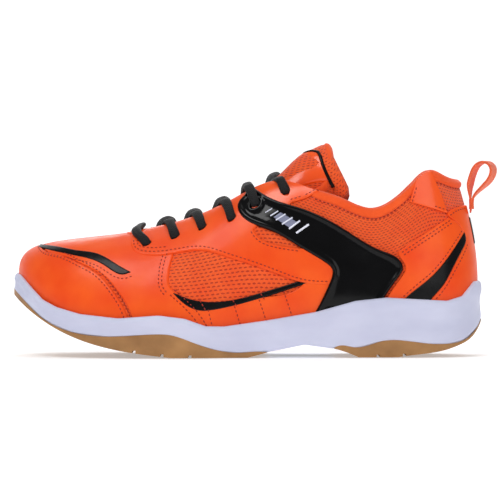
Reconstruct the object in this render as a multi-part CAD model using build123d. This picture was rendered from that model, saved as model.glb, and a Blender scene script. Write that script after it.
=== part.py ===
"""A low-cut court shoe for the left foot, built layer by layer the way a shoe factory builds one.

Frame: millimetres, toe towards -X, heel towards +X, outer (lateral) side towards -Y, ground at Z = 0.
The upper is a stack of thin skins on one smooth body. A point of that body is found from t, which
walks once round the shoe from the heel seam by the lateral side to the toe and back by the medial
side, and v, which climbs from the feather line (0) to the edge of the foot opening (1).
"""

import os

import numpy as np
from build123d import *

# ---------------------------------------------------------------- driving dimensions, mm
GAP = 0.2  # glue line between two skins
OVERLAY = 1.1  # synthetic leather panels
MESH = 1.2  # knitted spacer mesh
REINFORCEMENT = 1.2  # counter, puff and foam layer
LINING = 1.0
COLLAR_FOAM = 3.2
CAGE_RISE = 1.6  # how far the moulded cage stands out of the panels
RIM_WIDTH = 0.075  # share of v that the rolled collar edge takes
BOARD = 2.0
SOCKLINER = 4.0
GROOVE_WIDTH = 2.0
RUBBER_WRAP = 3.3  # rubber thickness beside the midsole at its foot
CUP_CLEARANCE = 0.15
JOINT_CLEARANCE = 0.4
EYELET_R = 3.0
EYELETS = ((-61.7, 69.4), (-44.3, 73.8), (-27.6, 79.4), (-9.6, 84.9), (5.3, 93.0), (23.4, 101.2))
LACE_D = 2.6
LACE_GAP = 0.5
LOOP_WIDTH = 10.0
LOOP_THICKNESS = 1.3
TREAD_DEPTH = 1.6  # depth of the grooves across the rubber
PLATE_THICKNESS = 2.0
PLATE_HALF_WIDTH = 15.0
HALF_SPACE = 90.0  # reach of a cutting prism in Y
MIDDLE_X = 4.0  # the middle of the whole shoe's length, which becomes the origin

# Depth of each skin below the outside of the panels.
MESH_OUT = -OVERLAY - GAP
MESH_IN = MESH_OUT - MESH
CORE_OUT = MESH_IN - GAP
CORE_IN = CORE_OUT - REINFORCEMENT
LINING_OUT = CORE_IN - GAP
LINING_IN = LINING_OUT - LINING
FOAM_IN = CORE_OUT - COLLAR_FOAM
COLLAR_OUT = FOAM_IN - GAP
COLLAR_IN = COLLAR_OUT - LINING

# Heel seam to toe tip. Feather line: x, y lateral, y medial, z. Opening edge: x, y lateral,
# y medial, z. Shape of the wall between: flare and lift off the feather, reach and drop off the edge.
STATIONS = [
    (139.5, 0, 0, 24, 131, 0, 0, 109, 8.4, 26, 6, 19),
    (131, -21, 21, 22.5, 124, -12.5, 12.5, 110.5, 8, 27, 5, 20),
    (114, -30.5, 30.5, 20.5, 112, -20, 20, 114, 6.5, 28, 4, 24),
    (97, -33.5, 32, 19.5, 98, -25, 25, 103, 5.5, 28, 4, 24),
    (78, -35, 31, 18.5, 79, -28.5, 27, 90.5, 5, 26, 3.5, 20),
    (58, -36, 30, 17, 59, -29, 27, 96.3, 5, 26, 5, 20),
    (37, -37, 29.5, 14.5, 40, -26, 24.5, 103, 5, 28, 8, 16),
    (15, -39, 31.5, 12, 22, -21, 20.5, 108, 5, 30, 13, 13),
    (-10, -43, 34.5, 10.5, 4, -17, 16.5, 103.5, 5, 32, 15, 10),
    (-35, -47, 40, 10, -16, -15, 14.5, 93, 5, 32, 16, 8),
    (-62, -47.5, 46, 11, -37, -13.5, 13.5, 84.5, 5, 32, 17, 6),
    (-92, -42, 47.5, 15.5, -56, -12, 12, 79.5, 6, 34, 24, 5),
    (-122, -26, 38, 27, -66, -8, 9, 77.3, 8, 36, 42, 6),
    (-139.5, 8, 8, 38, -69.5, 0, 0, 76.5, 10.6, 36, 56, 7.5),
]
TOE = len(STATIONS) - 1
LAPS = 2 * TOE  # t runs from 0 to LAPS once round the shoe
SEAM = 0.02  # half the slit at the heel seam, in t
LINING_JOIN = 6.6  # t where the fore and heel linings meet
PADDED = 5.2  # t where the collar's foam ends, either way round from the heel
RIM_END = 6.0  # t where the rolled collar edge ends
# Height and growth beyond the feather line of the sole's plan.
SOLE_PLAN = ((-6, 0.0), (6, 3.6), (20, 5.2), (40, 5.5), (60, 4.5))
FOREFOOT_GROOVES = (-69, -52, -35)
HEEL_GROOVES = (80, 96)

# ---------------------------------------------------------------- outlines in the X-Z plane
FLOOR = [(s[0], s[3]) for s in STATIONS]
SOLE_TOP = [
    (149, 47), (141, 45.9), (133, 37.2), (123, 34.5), (104, 35.6), (85, 36.6), (66, 34.6),
    (42, 27.9), (12, 22.8), (-14, 19.2), (-25, 19.4), (-38, 24), (-54, 26), (-79, 24.2),
    (-103, 26.7), (-118, 30.8), (-127, 35.2), (-136, 43.8), (-142, 49.6), (-149, 53),
]
TOE_ROLL = [(-151, 44), (-141, 34.1), (-122.5, 20.5), (-97.7, 9.3), (-70, 3.0), (-46, 0)]
FOREFOOT_FLAT = (-46, 0)
ARCH = [(0, 0), (12, 3.1), (35, 7.8), (54, 5.2), (68, 0)]
HEEL_FLAT = (68, 92)
HEEL_BEVEL = [(92, 0), (107, 1.9), (121, 4.2), (130, 7.2), (137, 11), (142, 16.7), (148, 30)]
FOREFOOT_WAVE = [
    (-151, 46), (-141, 37.8), (-125.6, 23.6), (-107, 15.5), (-85, 13), (-60, 14.3), (-47, 14),
    (-30, 8.2), (-17, 4.4), (-5, 3.1), (5, 3.7), (12.5, 3.1),
]
FORE_CORE = [(-16, 3.4), (-16, 40), (-90, 40), (-90, 10.4), (-72, 6.6), (-58, 4.4), (-44, 3.4)]
HEEL_CORE = [(113, 6.2), (113, 50), (65, 50), (65, 4.4), (74, 3.4), (92, 3.6), (104, 4.7)]
PLATE_FOOT = [(6, 1.6), (12, 3.1), (35, 7.8), (54, 5.2), (60, 3.0)]
PLATE_ZONE = [(14, 0), (52, 0), (52, 20), (14, 20)]
HEEL_WAVE = [(53, 5.6), (55, 6.9), (66, 6.2), (82, 9.9), (92, 10.5), (112, 8.2), (124, 8.2),
             (134, 10.6), (141, 17), (148, 28)]
TOE_CAP = [(-128.5, 68), (-125.6, 65.1), (-116.3, 62.6), (-104, 57.7), (-91.5, 50.8),
           (-83.4, 42.2), (-76.6, 32.2), (-70, 14)]
TOE_ACCENT = [
    [(-129.9, 68.4), (-116.3, 67.2), (-104, 65.1), (-91.5, 63.2), (-79, 56.4), (-71, 52.1)],
    [(-71, 52.1), (-76, 51.2), (-86.5, 56.4), (-93.3, 60), (-104, 62.6), (-116.3, 64.8),
     (-129.9, 67.2)],
]
EYESTAY_EDGE = [(-69.8, 80), (-71.7, 71.3), (-70.4, 66.3), (-66.7, 63.6), (-62.3, 62.6),
                (-46.8, 63.4), (-26.4, 65.4), (-14, 62), (1.6, 57), (20.2, 50.2), (32.6, 45.9),
                (51.5, 44.4)]
VAMP_REAR = [(-46.8, 63.4), (-48.7, 57.7), (-49.9, 49.6), (-49.3, 43.4), (-46.2, 40.3)]
VAMP_FOOT = [(-46.2, 40.3), (-38, 33), (-31, 25.5), (-24, 14)]
EYESTAY_REAR = [(51.5, 44.4), (58, 52), (38, 76), (3, 96), (1.6, 103.2), (1.6, 125), (-69.8, 125)]
QUARTER_REAR = [(-24, 14), (-24, 9), (40, 9), (60, 60), (45, 60), (34, 45), (0, 35), (-28, 31.5)]
CRESCENT_TOP = [(-46.2, 40.3), (-35.7, 36), (-17.1, 34.1), (-4.7, 36), (9, 39.7), (30.7, 46.3)]
CRESCENT_FOOT = [(37.5, 45.6), (26.4, 41.9), (1.6, 34.1), (-20.2, 29.1), (-30.1, 28.8),
                 (-35.7, 31), (-46.2, 40.3)]
CAGE_TOP = [(-1.6, 98), (1.6, 103.2), (9, 100), (32.6, 91.1), (57.4, 79.4), (82.2, 65.1),
            (91.5, 60.8), (95.2, 55.5), (91.5, 47.7), (83.4, 36), (76, 24)]
CAGE_FRONT = [(36, 18), (45, 34.1), (50.5, 46), (51.8, 53.9), (48, 57.7), (32.6, 67), (14, 77.5),
              (-4.7, 88), (-5.9, 91.8), (-1.6, 98)]
LEAF_TOP = [(33, 65.5), (36, 73), (10, 87), (3.6, 78)]
LEAF_FOOT = [(3.6, 78), (7, 73.4), (17, 69), (33, 65.5)]
TOP_PATCH = [(2, 116), (2, 99), (8, 95), (24, 88), (26.4, 94.4), (36, 97.4), (46, 103), (48, 116)]
HEEL_PATCH = [(99.5, 94.9), (102.6, 105.4), (107, 116), (112, 116), (119.4, 99.2), (123.1, 88),
              (113.2, 91.1)]
ACCENT_FRONT = [(133.7, 76.3), (122.5, 60.1), (113.2, 49.6), (105.7, 43.4), (94, 33), (88, 22)]
ACCENT_REAR = [(106, 22), (111.9, 34.7), (119.4, 43.4), (125.6, 53.9), (131.8, 65.1),
               (134.4, 71.3), (133.7, 76.3)]
HEEL_BAND = [(133.7, 76.3), (129.3, 82), (123.7, 85.2), (107, 74.4), (91.9, 64.3), (93, 61.4),
             (96.6, 55.5), (92.7, 47), (84.8, 35.5), (77.4, 22), (88, 22)]
BACKSTAY = [(133.7, 76.3), (129.3, 82), (123.1, 88), (128, 91.2), (135, 93), (150, 93),
            (150, 18), (106, 18)]


# ---------------------------------------------------------------- the body surface
def ring_rows():
    """The stations once round the shoe, as rows of x, y, z, edge x, y, z and the four shape values."""
    lateral = [(x, yl, z, ex, eyl, ez, *h) for x, yl, _, z, ex, eyl, _, ez, *h in STATIONS]
    medial = [(x, ym, z, ex, eym, ez, *h) for x, _, ym, z, ex, _, eym, ez, *h in STATIONS]
    return np.array(lateral + medial[-2:0:-1], float)


ROWS = ring_rows()


def periodic_slopes(rows):
    """Slopes of the closed cubic spline through the rows."""
    n = len(rows)
    system = 4 * np.eye(n) + np.roll(np.eye(n), 1, 1) + np.roll(np.eye(n), -1, 1)
    return np.linalg.solve(system, 3 * (np.roll(rows, -1, 0) - np.roll(rows, 1, 0)))


SLOPES = periodic_slopes(ROWS)


def station(t):
    i = int(np.floor(t)) % LAPS
    u = t - np.floor(t)
    j = (i + 1) % LAPS
    return (
        ROWS[i] * (2 * u**3 - 3 * u**2 + 1)
        + SLOPES[i] * (u**3 - 2 * u**2 + u)
        + ROWS[j] * (3 * u**2 - 2 * u**3)
        + SLOPES[j] * (u**3 - u**2)
    )


def wall(t, depth):
    """The opening edge in plan, the outward direction, and the wall's Bezier points (r, z)."""
    x, y, z, ex, ey, ez, flare, lift, reach, drop = station(t)
    out = np.array([x - ex, y - ey])
    span = np.hypot(*out)
    points = np.array([[span, z], [span + flare, z + lift], [reach, ez - drop], [0, ez]])
    legs = np.diff(points, axis=0)
    legs /= np.linalg.norm(legs, axis=1)[:, None]
    normals = np.stack([legs[:, 1], -legs[:, 0]], 1)
    moved = points.copy()
    moved[0] += depth * normals[0]
    moved[3] += depth * normals[2]
    for k in (1, 2):
        a, b = normals[k - 1], normals[k]
        moved[k] += depth * (a + b) / (1 + a @ b)
    return np.array([ex, ey]), out / span, moved


def trim(points, low, high):
    """The Bezier between two of its parameters."""

    def halves(p, s):
        left, right, work = [p[0]], [p[-1]], p
        while len(work) > 1:
            work = work[:-1] * (1 - s) + work[1:] * s
            left.append(work[0])
            right.append(work[-1])
        return np.array(left), np.array(right[::-1])

    points = halves(points, high)[0]
    return halves(points, low / high)[1] if low > 0 else points


def in_space(edge, out, point):
    return Vector(edge[0] + out[0] * point[0], edge[1] + out[1] * point[0], point[1])


def on_body(t, v, depth=0.0):
    """A point of the body at that depth, which is negative inwards."""
    edge, out, points = wall(t, depth)
    return in_space(edge, out, trim(points, 0, v)[-1] if v < 1 else points[-1])


def normal_at(t, v):
    return (on_body(t, v, 1.0) - on_body(t, v, 0.0)).normalized()


def t_at(x, v, medial=False):
    """The t of the point of the body at that x and v, between the ankle and the toe."""
    low, high = 5.0, TOE - 0.5
    for _ in range(25):
        middle = (low + high) / 2
        t = LAPS - middle if medial else middle
        low, high = (middle, high) if on_body(t, v).X > x else (low, middle)
    return LAPS - middle if medial else middle


def locate(x, z, medial=False):
    """The t and v of the point of the body at that x and z."""
    low, high = 0.0, 0.999
    for _ in range(25):
        v = (low + high) / 2
        t = t_at(x, v, medial)
        low, high = (v, high) if on_body(t, v).Z < z else (low, v)
    return t, v


def at(value, t):
    return value(t) if callable(value) else value


def stops(t0, t1):
    """Section places from t0 to t1: two to a station, four at the tight bends of heel and toe."""
    grid = np.arange(-LAPS, 2 * LAPS, 0.25)
    bend = np.minimum(np.abs((grid + TOE / 2) % TOE - TOE / 2), 9)
    grid = grid[(bend < 1.6) | (np.abs(grid * 2 - np.round(grid * 2)) < 0.1)]
    inside = grid[(grid > t0 + 0.12) & (grid < t1 - 0.12)]
    return [t0, *inside, t1]


def skin(depth_in, depth_out, t0, t1, v0=0.0, v1=1.0):
    """One layer of the body between two depths, from t0 to t1. v0 and v1 may be functions of t."""
    sections = []
    for t in stops(t0, t1):
        low, high = at(v0, t), at(v1, t)
        lines = []
        for depth in (depth_out, depth_in):
            edge, out, points = wall(t, depth)
            lines.append([in_space(edge, out, p) for p in trim(points, low, high)])
        outer, inner = lines
        sections.append(Wire([
            Edge.make_bezier(*outer),
            Edge.make_line(outer[-1], inner[-1]),
            Edge.make_bezier(*inner[::-1]),
            Edge.make_line(inner[0], outer[0]),
        ]))
    return Solid.make_loft(sections)


def near_heel(t):
    """Distance in t from the heel seam, either way round."""
    t = t % LAPS
    return min(t, LAPS - t)


def below_rim(t):
    """v where the mesh stops: under the rolled edge at the collar, at the opening elsewhere."""
    share = np.clip((near_heel(t) - 6.2) / 1.2, 0, 1)
    return 1 - (RIM_WIDTH + 0.006) * (1 - share * share * (3 - 2 * share))


def radius_at(bezier, z):
    """How far out the wall stands at height z. Below the wall it goes straight down."""
    if z <= bezier[0][1]:
        return bezier[0][0]
    low, high = 0.0, 1.0
    for _ in range(30):
        middle = (low + high) / 2
        point = trim(bezier, 0, middle)[-1] if middle < 1 else bezier[-1]
        low, high = (middle, high) if point[1] < z else (low, middle)
    return point[0]


def closed_curve(points):
    return Wire([Edge.make_spline(points, periodic=True)])


def level_loop(z, depth):
    """A level closed curve round the body at height z."""
    points = []
    for t in np.arange(0, LAPS, 0.5):
        edge, out, bezier = wall(t, depth)
        points.append(in_space(edge, out, (radius_at(bezier, z), z)))
    return closed_curve(points)


def grown_loop(z, growth):
    """A level closed curve at height z, that far outside the feather line's plan."""
    points = []
    for t in np.arange(0, LAPS, 0.5):
        along = (station(t + 0.02) - station(t - 0.02))[:2]
        along /= np.hypot(*along)
        x, y = station(t)[:2] + growth * np.array([-along[1], along[0]])
        points.append(Vector(x, y, z))
    return closed_curve(points)


def inside_body(depth, low, high, steps=6):
    """The solid inside the body at that depth between two heights."""
    return Solid.make_loft([level_loop(z, depth) for z in np.linspace(low, high, steps)])


# ---------------------------------------------------------------- cutting prisms
def prism(*runs, side=0, low=-HALF_SPACE, high=HALF_SPACE):
    """A solid through the shoe in Y. Runs of three or more points are curves, runs of two are lines.

    side -1 keeps the lateral half and 1 the medial half.
    """
    if side:
        low, high = (low, 0) if side < 0 else (0, high)
    edges = []
    for run, following in zip(runs, runs[1:] + runs[:1]):
        points = [Vector(x, low, z) for x, z in run]
        edges.append(Edge.make_spline(points) if len(points) > 2 else Edge.make_line(*points))
        start = Vector(following[0][0], low, following[0][1])
        if (points[-1] - start).length > 1e-6:
            edges.append(Edge.make_line(points[-1], start))
    return Solid.extrude(Face(Wire(edges)), Vector(0, high - low, 0))


def corners(points):
    """The straight runs of a closed outline with corners at its points."""
    return [[a, b] for a, b in zip(points, points[1:] + points[:1])]


def pairs(points):
    """The straight runs along an open chain of points."""
    return [[a, b] for a, b in zip(points, points[1:])]


def shifted(points, dz):
    return [(x, z + dz) for x, z in points]


def solids_of(shape):
    """The solids of a boolean's result, without slivers."""
    return [s for s in shape.solids() if s.volume > 0.5]


def cut(shape, *tools):
    for tool in tools:
        shape = Compound(children=solids_of(shape - tool))
    return shape


def common(shape, *tools):
    for tool in tools:
        shape = Compound(children=solids_of(shape & tool))
    return shape


# ---------------------------------------------------------------- sub-parts
def make_sole():
    """Midsole, the two rubber outsole pieces and the arch plate, and the whole sole's outline."""
    plan = Solid.make_loft([grown_loop(z, growth) for z, growth in SOLE_PLAN])
    side = prism(
        SOLE_TOP, TOE_ROLL, [(FOREFOOT_FLAT[0], 0), (FOREFOOT_FLAT[1], 0)], ARCH,
        [(HEEL_FLAT[0], 0), (HEEL_FLAT[1], 0)], HEEL_BEVEL,
    )
    body = common(plan, side)
    floor = shifted(FLOOR, -CUP_CLEARANCE)
    above_floor = prism(floor, [(-170, floor[-1][1]), (-170, 80)], [(170, 80), (170, floor[0][1])])
    cup = common(inside_body(CUP_CLEARANCE, 6, 66, 8), above_floor)

    core_plan = Solid.extrude(Face(grown_loop(-1, 3.0 - RUBBER_WRAP)), Vector(0, 0, 60))
    zones = {
        "outsole_forefoot": (
            prism(FOREFOOT_WAVE, [(12.5, 3.1), (12.5, -9)], [(-151, -9), (-151, 46)]),
            prism(FORE_CORE[:2], FORE_CORE[1:3], FORE_CORE[2:4], FORE_CORE[3:]), FOREFOOT_GROOVES),
        "outsole_heel": (
            prism(HEEL_WAVE, [(148, 28), (148, -9)], [(53, -9), (53, 5.6)]),
            prism(HEEL_CORE[:2], HEEL_CORE[1:3], HEEL_CORE[2:4], HEEL_CORE[3:]), HEEL_GROOVES),
    }
    midsole = body
    parts = {}
    for name, (zone, core, grooves) in zones.items():
        shell = cut(zone, common(core_plan, core))
        midsole = cut(midsole, shell)
        parts[name] = cut(common(body, shell), cup, *[
            Pos(x, 0, 0) * Box(GROOVE_WIDTH, 120, 2 * groove_top(x)) for x in grooves])
    midsole = cut(midsole, cup)

    plate_top = shifted(PLATE_FOOT[::-1], PLATE_THICKNESS)
    plate = common(
        prism(PLATE_FOOT, [PLATE_FOOT[-1], plate_top[0]], plate_top,
              low=-PLATE_HALF_WIDTH, high=PLATE_HALF_WIDTH),
        prism(*corners(PLATE_ZONE)),
    )
    parts["midsole"] = cut(midsole, plate)
    parts["shank_plate"] = plate
    return parts, body


def groove_top(x):
    """How high a cross groove in the tread reaches, from the rubber's foot at that x."""
    foot = np.array(TOE_ROLL[3:] + HEEL_BEVEL[:3], float)
    return np.interp(x, *foot.T) + TREAD_DEPTH


def make_footbed():
    board_loops = inside_body(LINING_IN - 0.8, 6, 66, 6)
    liner_loops = inside_body(LINING_IN - 1.6, 6, 66, 6)

    def slab(loops, low, high):
        bottom, top = shifted(FLOOR, low), shifted(FLOOR[::-1], high)
        return common(loops, prism(bottom, [bottom[-1], top[0]], top, [top[-1], bottom[0]]))

    top = BOARD + JOINT_CLEARANCE
    return {
        "strobel_board": slab(board_loops, 0.0, BOARD),
        "sockliner": slab(liner_loops, top, top + SOCKLINER),
    }


def eyelets():
    """One cylinder through every layer for each eyelet, six to a side."""
    tools = []
    for medial in (False, True):
        for x, z in EYELETS:
            t, v = locate(x, z, medial)
            centre, normal = on_body(t, v), normal_at(t, v)
            tools.append(Plane(centre - normal * 9, z_dir=normal)
                         * Cylinder(EYELET_R, 18, align=(Align.CENTER, Align.CENTER, Align.MIN)))
    return tools


def make_inner_upper(holes):
    """Mesh upper, reinforcements and linings, from outside in."""
    padding_top = 1 - RIM_WIDTH - 0.006
    parts = {
        "mesh_upper": cut(skin(MESH_IN, MESH_OUT, SEAM, LAPS - SEAM, v1=below_rim), *holes),
        "toe_puff": skin(CORE_IN, CORE_OUT, TOE - 2.2, TOE + 2.2, 0, 0.72),
        "heel_counter": skin(CORE_IN, CORE_OUT - 0.3, -3.5, 3.5, 0, 0.52),
        "vamp_lining": cut(
            skin(LINING_IN, LINING_OUT, LINING_JOIN + SEAM, LAPS - LINING_JOIN - SEAM), *holes),
        "collar_foam": skin(FOAM_IN, CORE_OUT, -PADDED, PADDED, 0.56, padding_top),
        "collar_rim": skin(FOAM_IN, 0, -RIM_END, RIM_END, 1 - RIM_WIDTH, 1),
        "collar_lining": skin(COLLAR_IN, COLLAR_OUT, -PADDED, PADDED, 0.56, 1),
        "heel_lining": skin(LINING_IN, LINING_OUT, -LINING_JOIN, LINING_JOIN, 0, 0.53),
    }
    for side, medial in (("_lateral", False), ("_medial", True)):
        tape = skin(CORE_IN, CORE_OUT, *span(6.7, TOE - 0.45, medial), 0.78, 1)
        parts["eyestay_reinforcement" + side] = cut(tape, *holes)
        parts["quarter_padding" + side] = skin(
            CORE_IN, CORE_OUT, *span(4.0, TOE - 2.5, medial), 0, 0.54)
        parts["eyestay_lining" + side] = skin(
            LINING_IN, LINING_OUT, *span(PADDED + 0.1, LINING_JOIN - 0.1, medial), 0.57, below_rim)
    return parts


def span(start, end, medial):
    """The range of t from start to end on the lateral side, or its twin on the medial side."""
    return (LAPS - end, LAPS - start) if medial else (start, end)


def make_panels(holes, sole):
    """The glued and stitched panels and the moulded cage, cut out of two skins."""
    front = skin(-OVERLAY, 0, SEAM, LAPS - SEAM, v1=below_rim)
    rear = skin(-OVERLAY, 0, -TOE + SEAM, TOE - SEAM, v1=below_rim)
    cage_skin = skin(-OVERLAY, CAGE_RISE, SEAM, LAPS - SEAM, v1=below_rim)
    cap = prism(TOE_CAP, [TOE_CAP[-1], (-160, 14)], [(-160, 80), (-128.5, 80)])
    parts = {"toe_cap": common(front, cap)}
    beside_vamp, bands = [], []
    for name, side in (("lateral", -1), ("medial", 1)):
        accent = prism(*TOE_ACCENT, side=side)
        eyestay = prism(EYESTAY_EDGE, *pairs(EYESTAY_REAR), side=side)
        cage = prism(CAGE_TOP, CAGE_FRONT, side=side)
        leaf = prism(*pairs(LEAF_TOP), LEAF_FOOT, side=side)
        crescent = prism(CRESCENT_TOP, CRESCENT_FOOT, side=side)
        quarter = prism(VAMP_FOOT, *pairs(QUARTER_REAR), side=side)
        patch = prism(*corners(TOP_PATCH), side=side)
        band = prism(HEEL_BAND[:3], HEEL_BAND[2:5], HEEL_BAND[4:], ACCENT_FRONT[::-1], side=side)
        parts["toe_accent_" + name] = cut(common(front, accent), cap)
        parts["eyestay_" + name] = cut(common(front, eyestay), cage, leaf, *holes)
        parts["crescent_" + name] = cut(common(front, crescent), eyestay)
        parts["quarter_panel_" + name] = cut(common(front, quarter), cage, crescent, eyestay)
        parts["cage_" + name] = cut(common(cage_skin, cage), sole, *holes)
        parts["top_eyelet_patch_" + name] = cut(common(front, patch), cage, eyestay, *holes)
        parts["heel_band_" + name] = common(rear, band)
        parts["heel_accent_" + name] = common(rear, prism(ACCENT_FRONT, ACCENT_REAR, side=side))
        parts["heel_patch_" + name] = common(rear, prism(*corners(HEEL_PATCH), side=side))
        beside_vamp += [accent, eyestay, crescent]
        bands.append(band)
    vamp = prism(
        [(-160, 10), (-160, 125)], [(-69.8, 125), (-69.8, 80)], EYESTAY_EDGE[:6], VAMP_REAR,
        VAMP_FOOT, [(-24, 14), (-24, 10)])
    parts["vamp_panel"] = cut(common(front, vamp), cap, *beside_vamp)
    backstay = prism(BACKSTAY[:3], BACKSTAY[2:5], [(135, 93), (150, 93)], [(150, 18), (106, 18)],
                     [(106, 18), (106, 22)], ACCENT_REAR)
    parts["backstay"] = cut(common(rear, backstay), *bands)
    return parts


def band_section(centre, tangent, half_width, depth, outer, inner, start=0.0):
    """An arched band across the tongue between two depths under its crown line.

    A start above 0 leaves out that share of the arch on each side.
    """
    up = np.array([-tangent[1], tangent[0]])

    def arc(inset):
        a, b = half_width - 0.6 * inset, depth
        c = np.array(centre) - up * inset
        k = 0.5523
        quarter = trim(np.array([(-a, b), (-a, b * (1 - k)), (-a * k, 0), (0, 0)]), start, 1)
        left = [Vector((c - up * z)[0], y, (c - up * z)[1]) for y, z in quarter]
        return left, [Vector(p.X, -p.Y, p.Z) for p in left[::-1]]

    (o1, o2), (i1, i2) = arc(outer), arc(inner)
    return Wire([
        Edge.make_bezier(*o1), Edge.make_bezier(*o2), Edge.make_line(o2[-1], i2[-1]),
        Edge.make_bezier(*i2[::-1]), Edge.make_bezier(*i1[::-1]), Edge.make_line(i1[0], o1[0]),
    ])


# Crown line of the tongue (x, z), half-width, arch depth and thickness at each section.
TONGUE = [
    (-82, 67.2, 17, 4, 2.6), (-60, 69.0, 17, 6, 4.2), (-37, 75.2, 17, 8, 5.5),
    (-16, 84.0, 17, 11, 6), (4, 93.2, 16, 15, 6.5), (24, 108.2, 14.5, 22, 7),
    (43, 128.5, 15, 32, 6.5),
]


def make_tongue():
    crown = np.array([row[:2] for row in TONGUE], float)
    tangents = np.gradient(crown, axis=0)
    tangents /= np.linalg.norm(tangents, axis=1)[:, None]

    def layer(low, high, start=0.0):
        """A layer between two shares of the tongue's thickness."""
        return Solid.make_loft([
            band_section(crown[k], tangents[k], TONGUE[k][2], TONGUE[k][3],
                         low * TONGUE[k][4], high * TONGUE[k][4], start)
            for k in range(len(TONGUE))
        ])

    label_zone = Pos(36, 0, 115) * Box(14, 60, 60)
    return {
        "tongue_label": common(layer(-0.2, -0.05, start=0.35), label_zone),
        "tongue_face": layer(0.0, 0.17),
        "tongue_foam": layer(0.19, 0.83),
        "tongue_lining": layer(0.85, 1.0),
    }


def lace_points():
    """The lace's route: a bar over the first pair of eyelets, then crossing up to the last pair."""
    under = LINING_IN - LACE_GAP / 2 - LACE_D / 2
    over = LACE_D / 2 + LACE_GAP

    where = {(i, m): locate(x, z, m) for m in (False, True) for i, (x, z) in enumerate(EYELETS)}

    def hole(i, medial, depth):
        t, v = where[i, medial]
        return on_body(t, v) + normal_at(t, v) * depth

    def edge(i, medial, depth, along=0.0):
        """At the opening edge beside an eyelet, so far along the edge towards the heel."""
        t = t_at(on_body(*where[i, medial]).X + 1.5 + along, 1.0, medial)
        return on_body(t, 0.999) + normal_at(t, 0.97) * depth

    def lift(i):
        """Depth at which a strand meets the surface: the cage stands proud at the fifth eyelet."""
        return over + (CAGE_RISE if i == 4 else 0.0)

    def between(i, medial, depth):
        """Half-way over the eyestay between an eyelet and the opening edge."""
        t, v = where[i, medial]
        return on_body((t + t_at(on_body(t, v).X, 1.0, medial)) / 2, (v + 1) / 2) + normal_at(
            t, (v + 1) / 2) * depth

    def half(medial, high):
        """From the middle of the bar to the end, entering each eyelet from outside."""
        points, side, last = [], medial, len(EYELETS) - 1
        for i in range(len(EYELETS)):
            points += [edge(i, side, lift(i) + 0.9, -2.0), between(i, side, lift(i) + 0.4),
                       hole(i, side, lift(i)), hole(i, side, under)]
            if i < last:
                points.append(edge(i, side, under, 2.5))
                middle = (edge(i, side, under, 3.0) + edge(i + 1, not side, over, -3.0)) * 0.5
                apart = LACE_D / 2 + (2.2 if i == last - 2 else 1.9)
                on_top = (i % 2 == 0) == high
                clear_of_tongue = 3.4 if i == last - 1 else 1.0
                rise = (apart if on_top else -apart) + clear_of_tongue
                points.append(middle + Vector(0, 0, rise))
                side = not side
        end = hole(last, side, under)
        return points + [end + Vector(9, 0, -2.5), end + Vector(17, 0, -7.0)]

    bar = (edge(0, False, over + 1.0, -2.5) + edge(0, True, over + 1.0, -2.5)) * 0.5
    return half(False, True)[::-1] + [bar] + half(True, False)


def tube(points, diameter):
    """A tube along straight runs joined by arcs as large as the runs allow."""
    radii = []
    for a, b, c in zip(points, points[1:], points[2:]):
        turn = np.radians((b - a).get_angle(c - b))
        radii.append(0.45 * min((b - a).length, (c - b).length) / np.tan(turn / 2))
    path = FilletPolyline(*points, radius=radii)
    start = Plane(origin=path @ 0, z_dir=path % 0)
    return sweep(start * Circle(diameter / 2), path=path), radii, path.length


def make_lace():
    points = lace_points()
    lace, radii, length = tube(points, LACE_D)
    print("lace: shortest radius %.2f mm, length %.0f mm, volume over section times length %.4f" % (
        min(radii), length, lace.volume / (length * np.pi * LACE_D**2 / 4)))
    return {"lace": lace}


# The loop's centre line (x, z), from the front leg's foot over the top to the rear leg's foot.
LOOP_LINE = [(138.2, 97.5), (138.0, 104), (139.8, 112), (143.4, 118.2), (148, 119.6), (151.8, 117),
             (151.6, 111), (147.5, 105.5), (142.6, 101), (140.0, 97.5)]
LOOP_ANCHOR = [(137.6, 88), (138.9, 88), (140.3, 94.9), (137.6, 94.9)]


def make_pull_loop():
    half = LOOP_WIDTH / 2
    line = Edge.make_spline([Vector(x, -half, z) for x, z in LOOP_LINE])

    def beside(distance):
        """The curve of one face of the webbing, that far from its middle."""
        points = []
        for s in np.linspace(0, 1, 28):
            d = line.tangent_at(s)
            points.append(line.position_at(s) + Vector(-d.Z, 0, d.X) * distance)
        return Edge.make_spline(points)

    a, b = beside(LOOP_THICKNESS / 2), beside(-LOOP_THICKNESS / 2)
    band = Face(Wire([a, Edge.make_line(a @ 1, b @ 1), b, Edge.make_line(b @ 0, a @ 0)]))
    return {
        "pull_loop": Solid.extrude(band, Vector(0, LOOP_WIDTH, 0)),
        "pull_loop_anchor": prism(*corners(LOOP_ANCHOR), low=-half, high=half),
    }


def main():
    os.makedirs("parts", exist_ok=True)
    parts, sole = make_sole()
    parts.update(make_footbed())
    holes = eyelets()
    parts.update(make_inner_upper(holes))
    parts.update(make_panels(holes, sole))
    parts.update(make_tongue())
    parts.update(make_lace())
    parts.update(make_pull_loop())
    for name, shape in parts.items():
        export_step(Pos(-MIDDLE_X, 0, 0) * shape, "parts/%s.step" % name)


main()
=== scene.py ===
"""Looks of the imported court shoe. Soft and moulded pieces are rebuilt on the shoe's own surface."""
import math

import bmesh
import bpy
import numpy as np
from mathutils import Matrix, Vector
from mathutils.geometry import delaunay_2d_cdt


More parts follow.
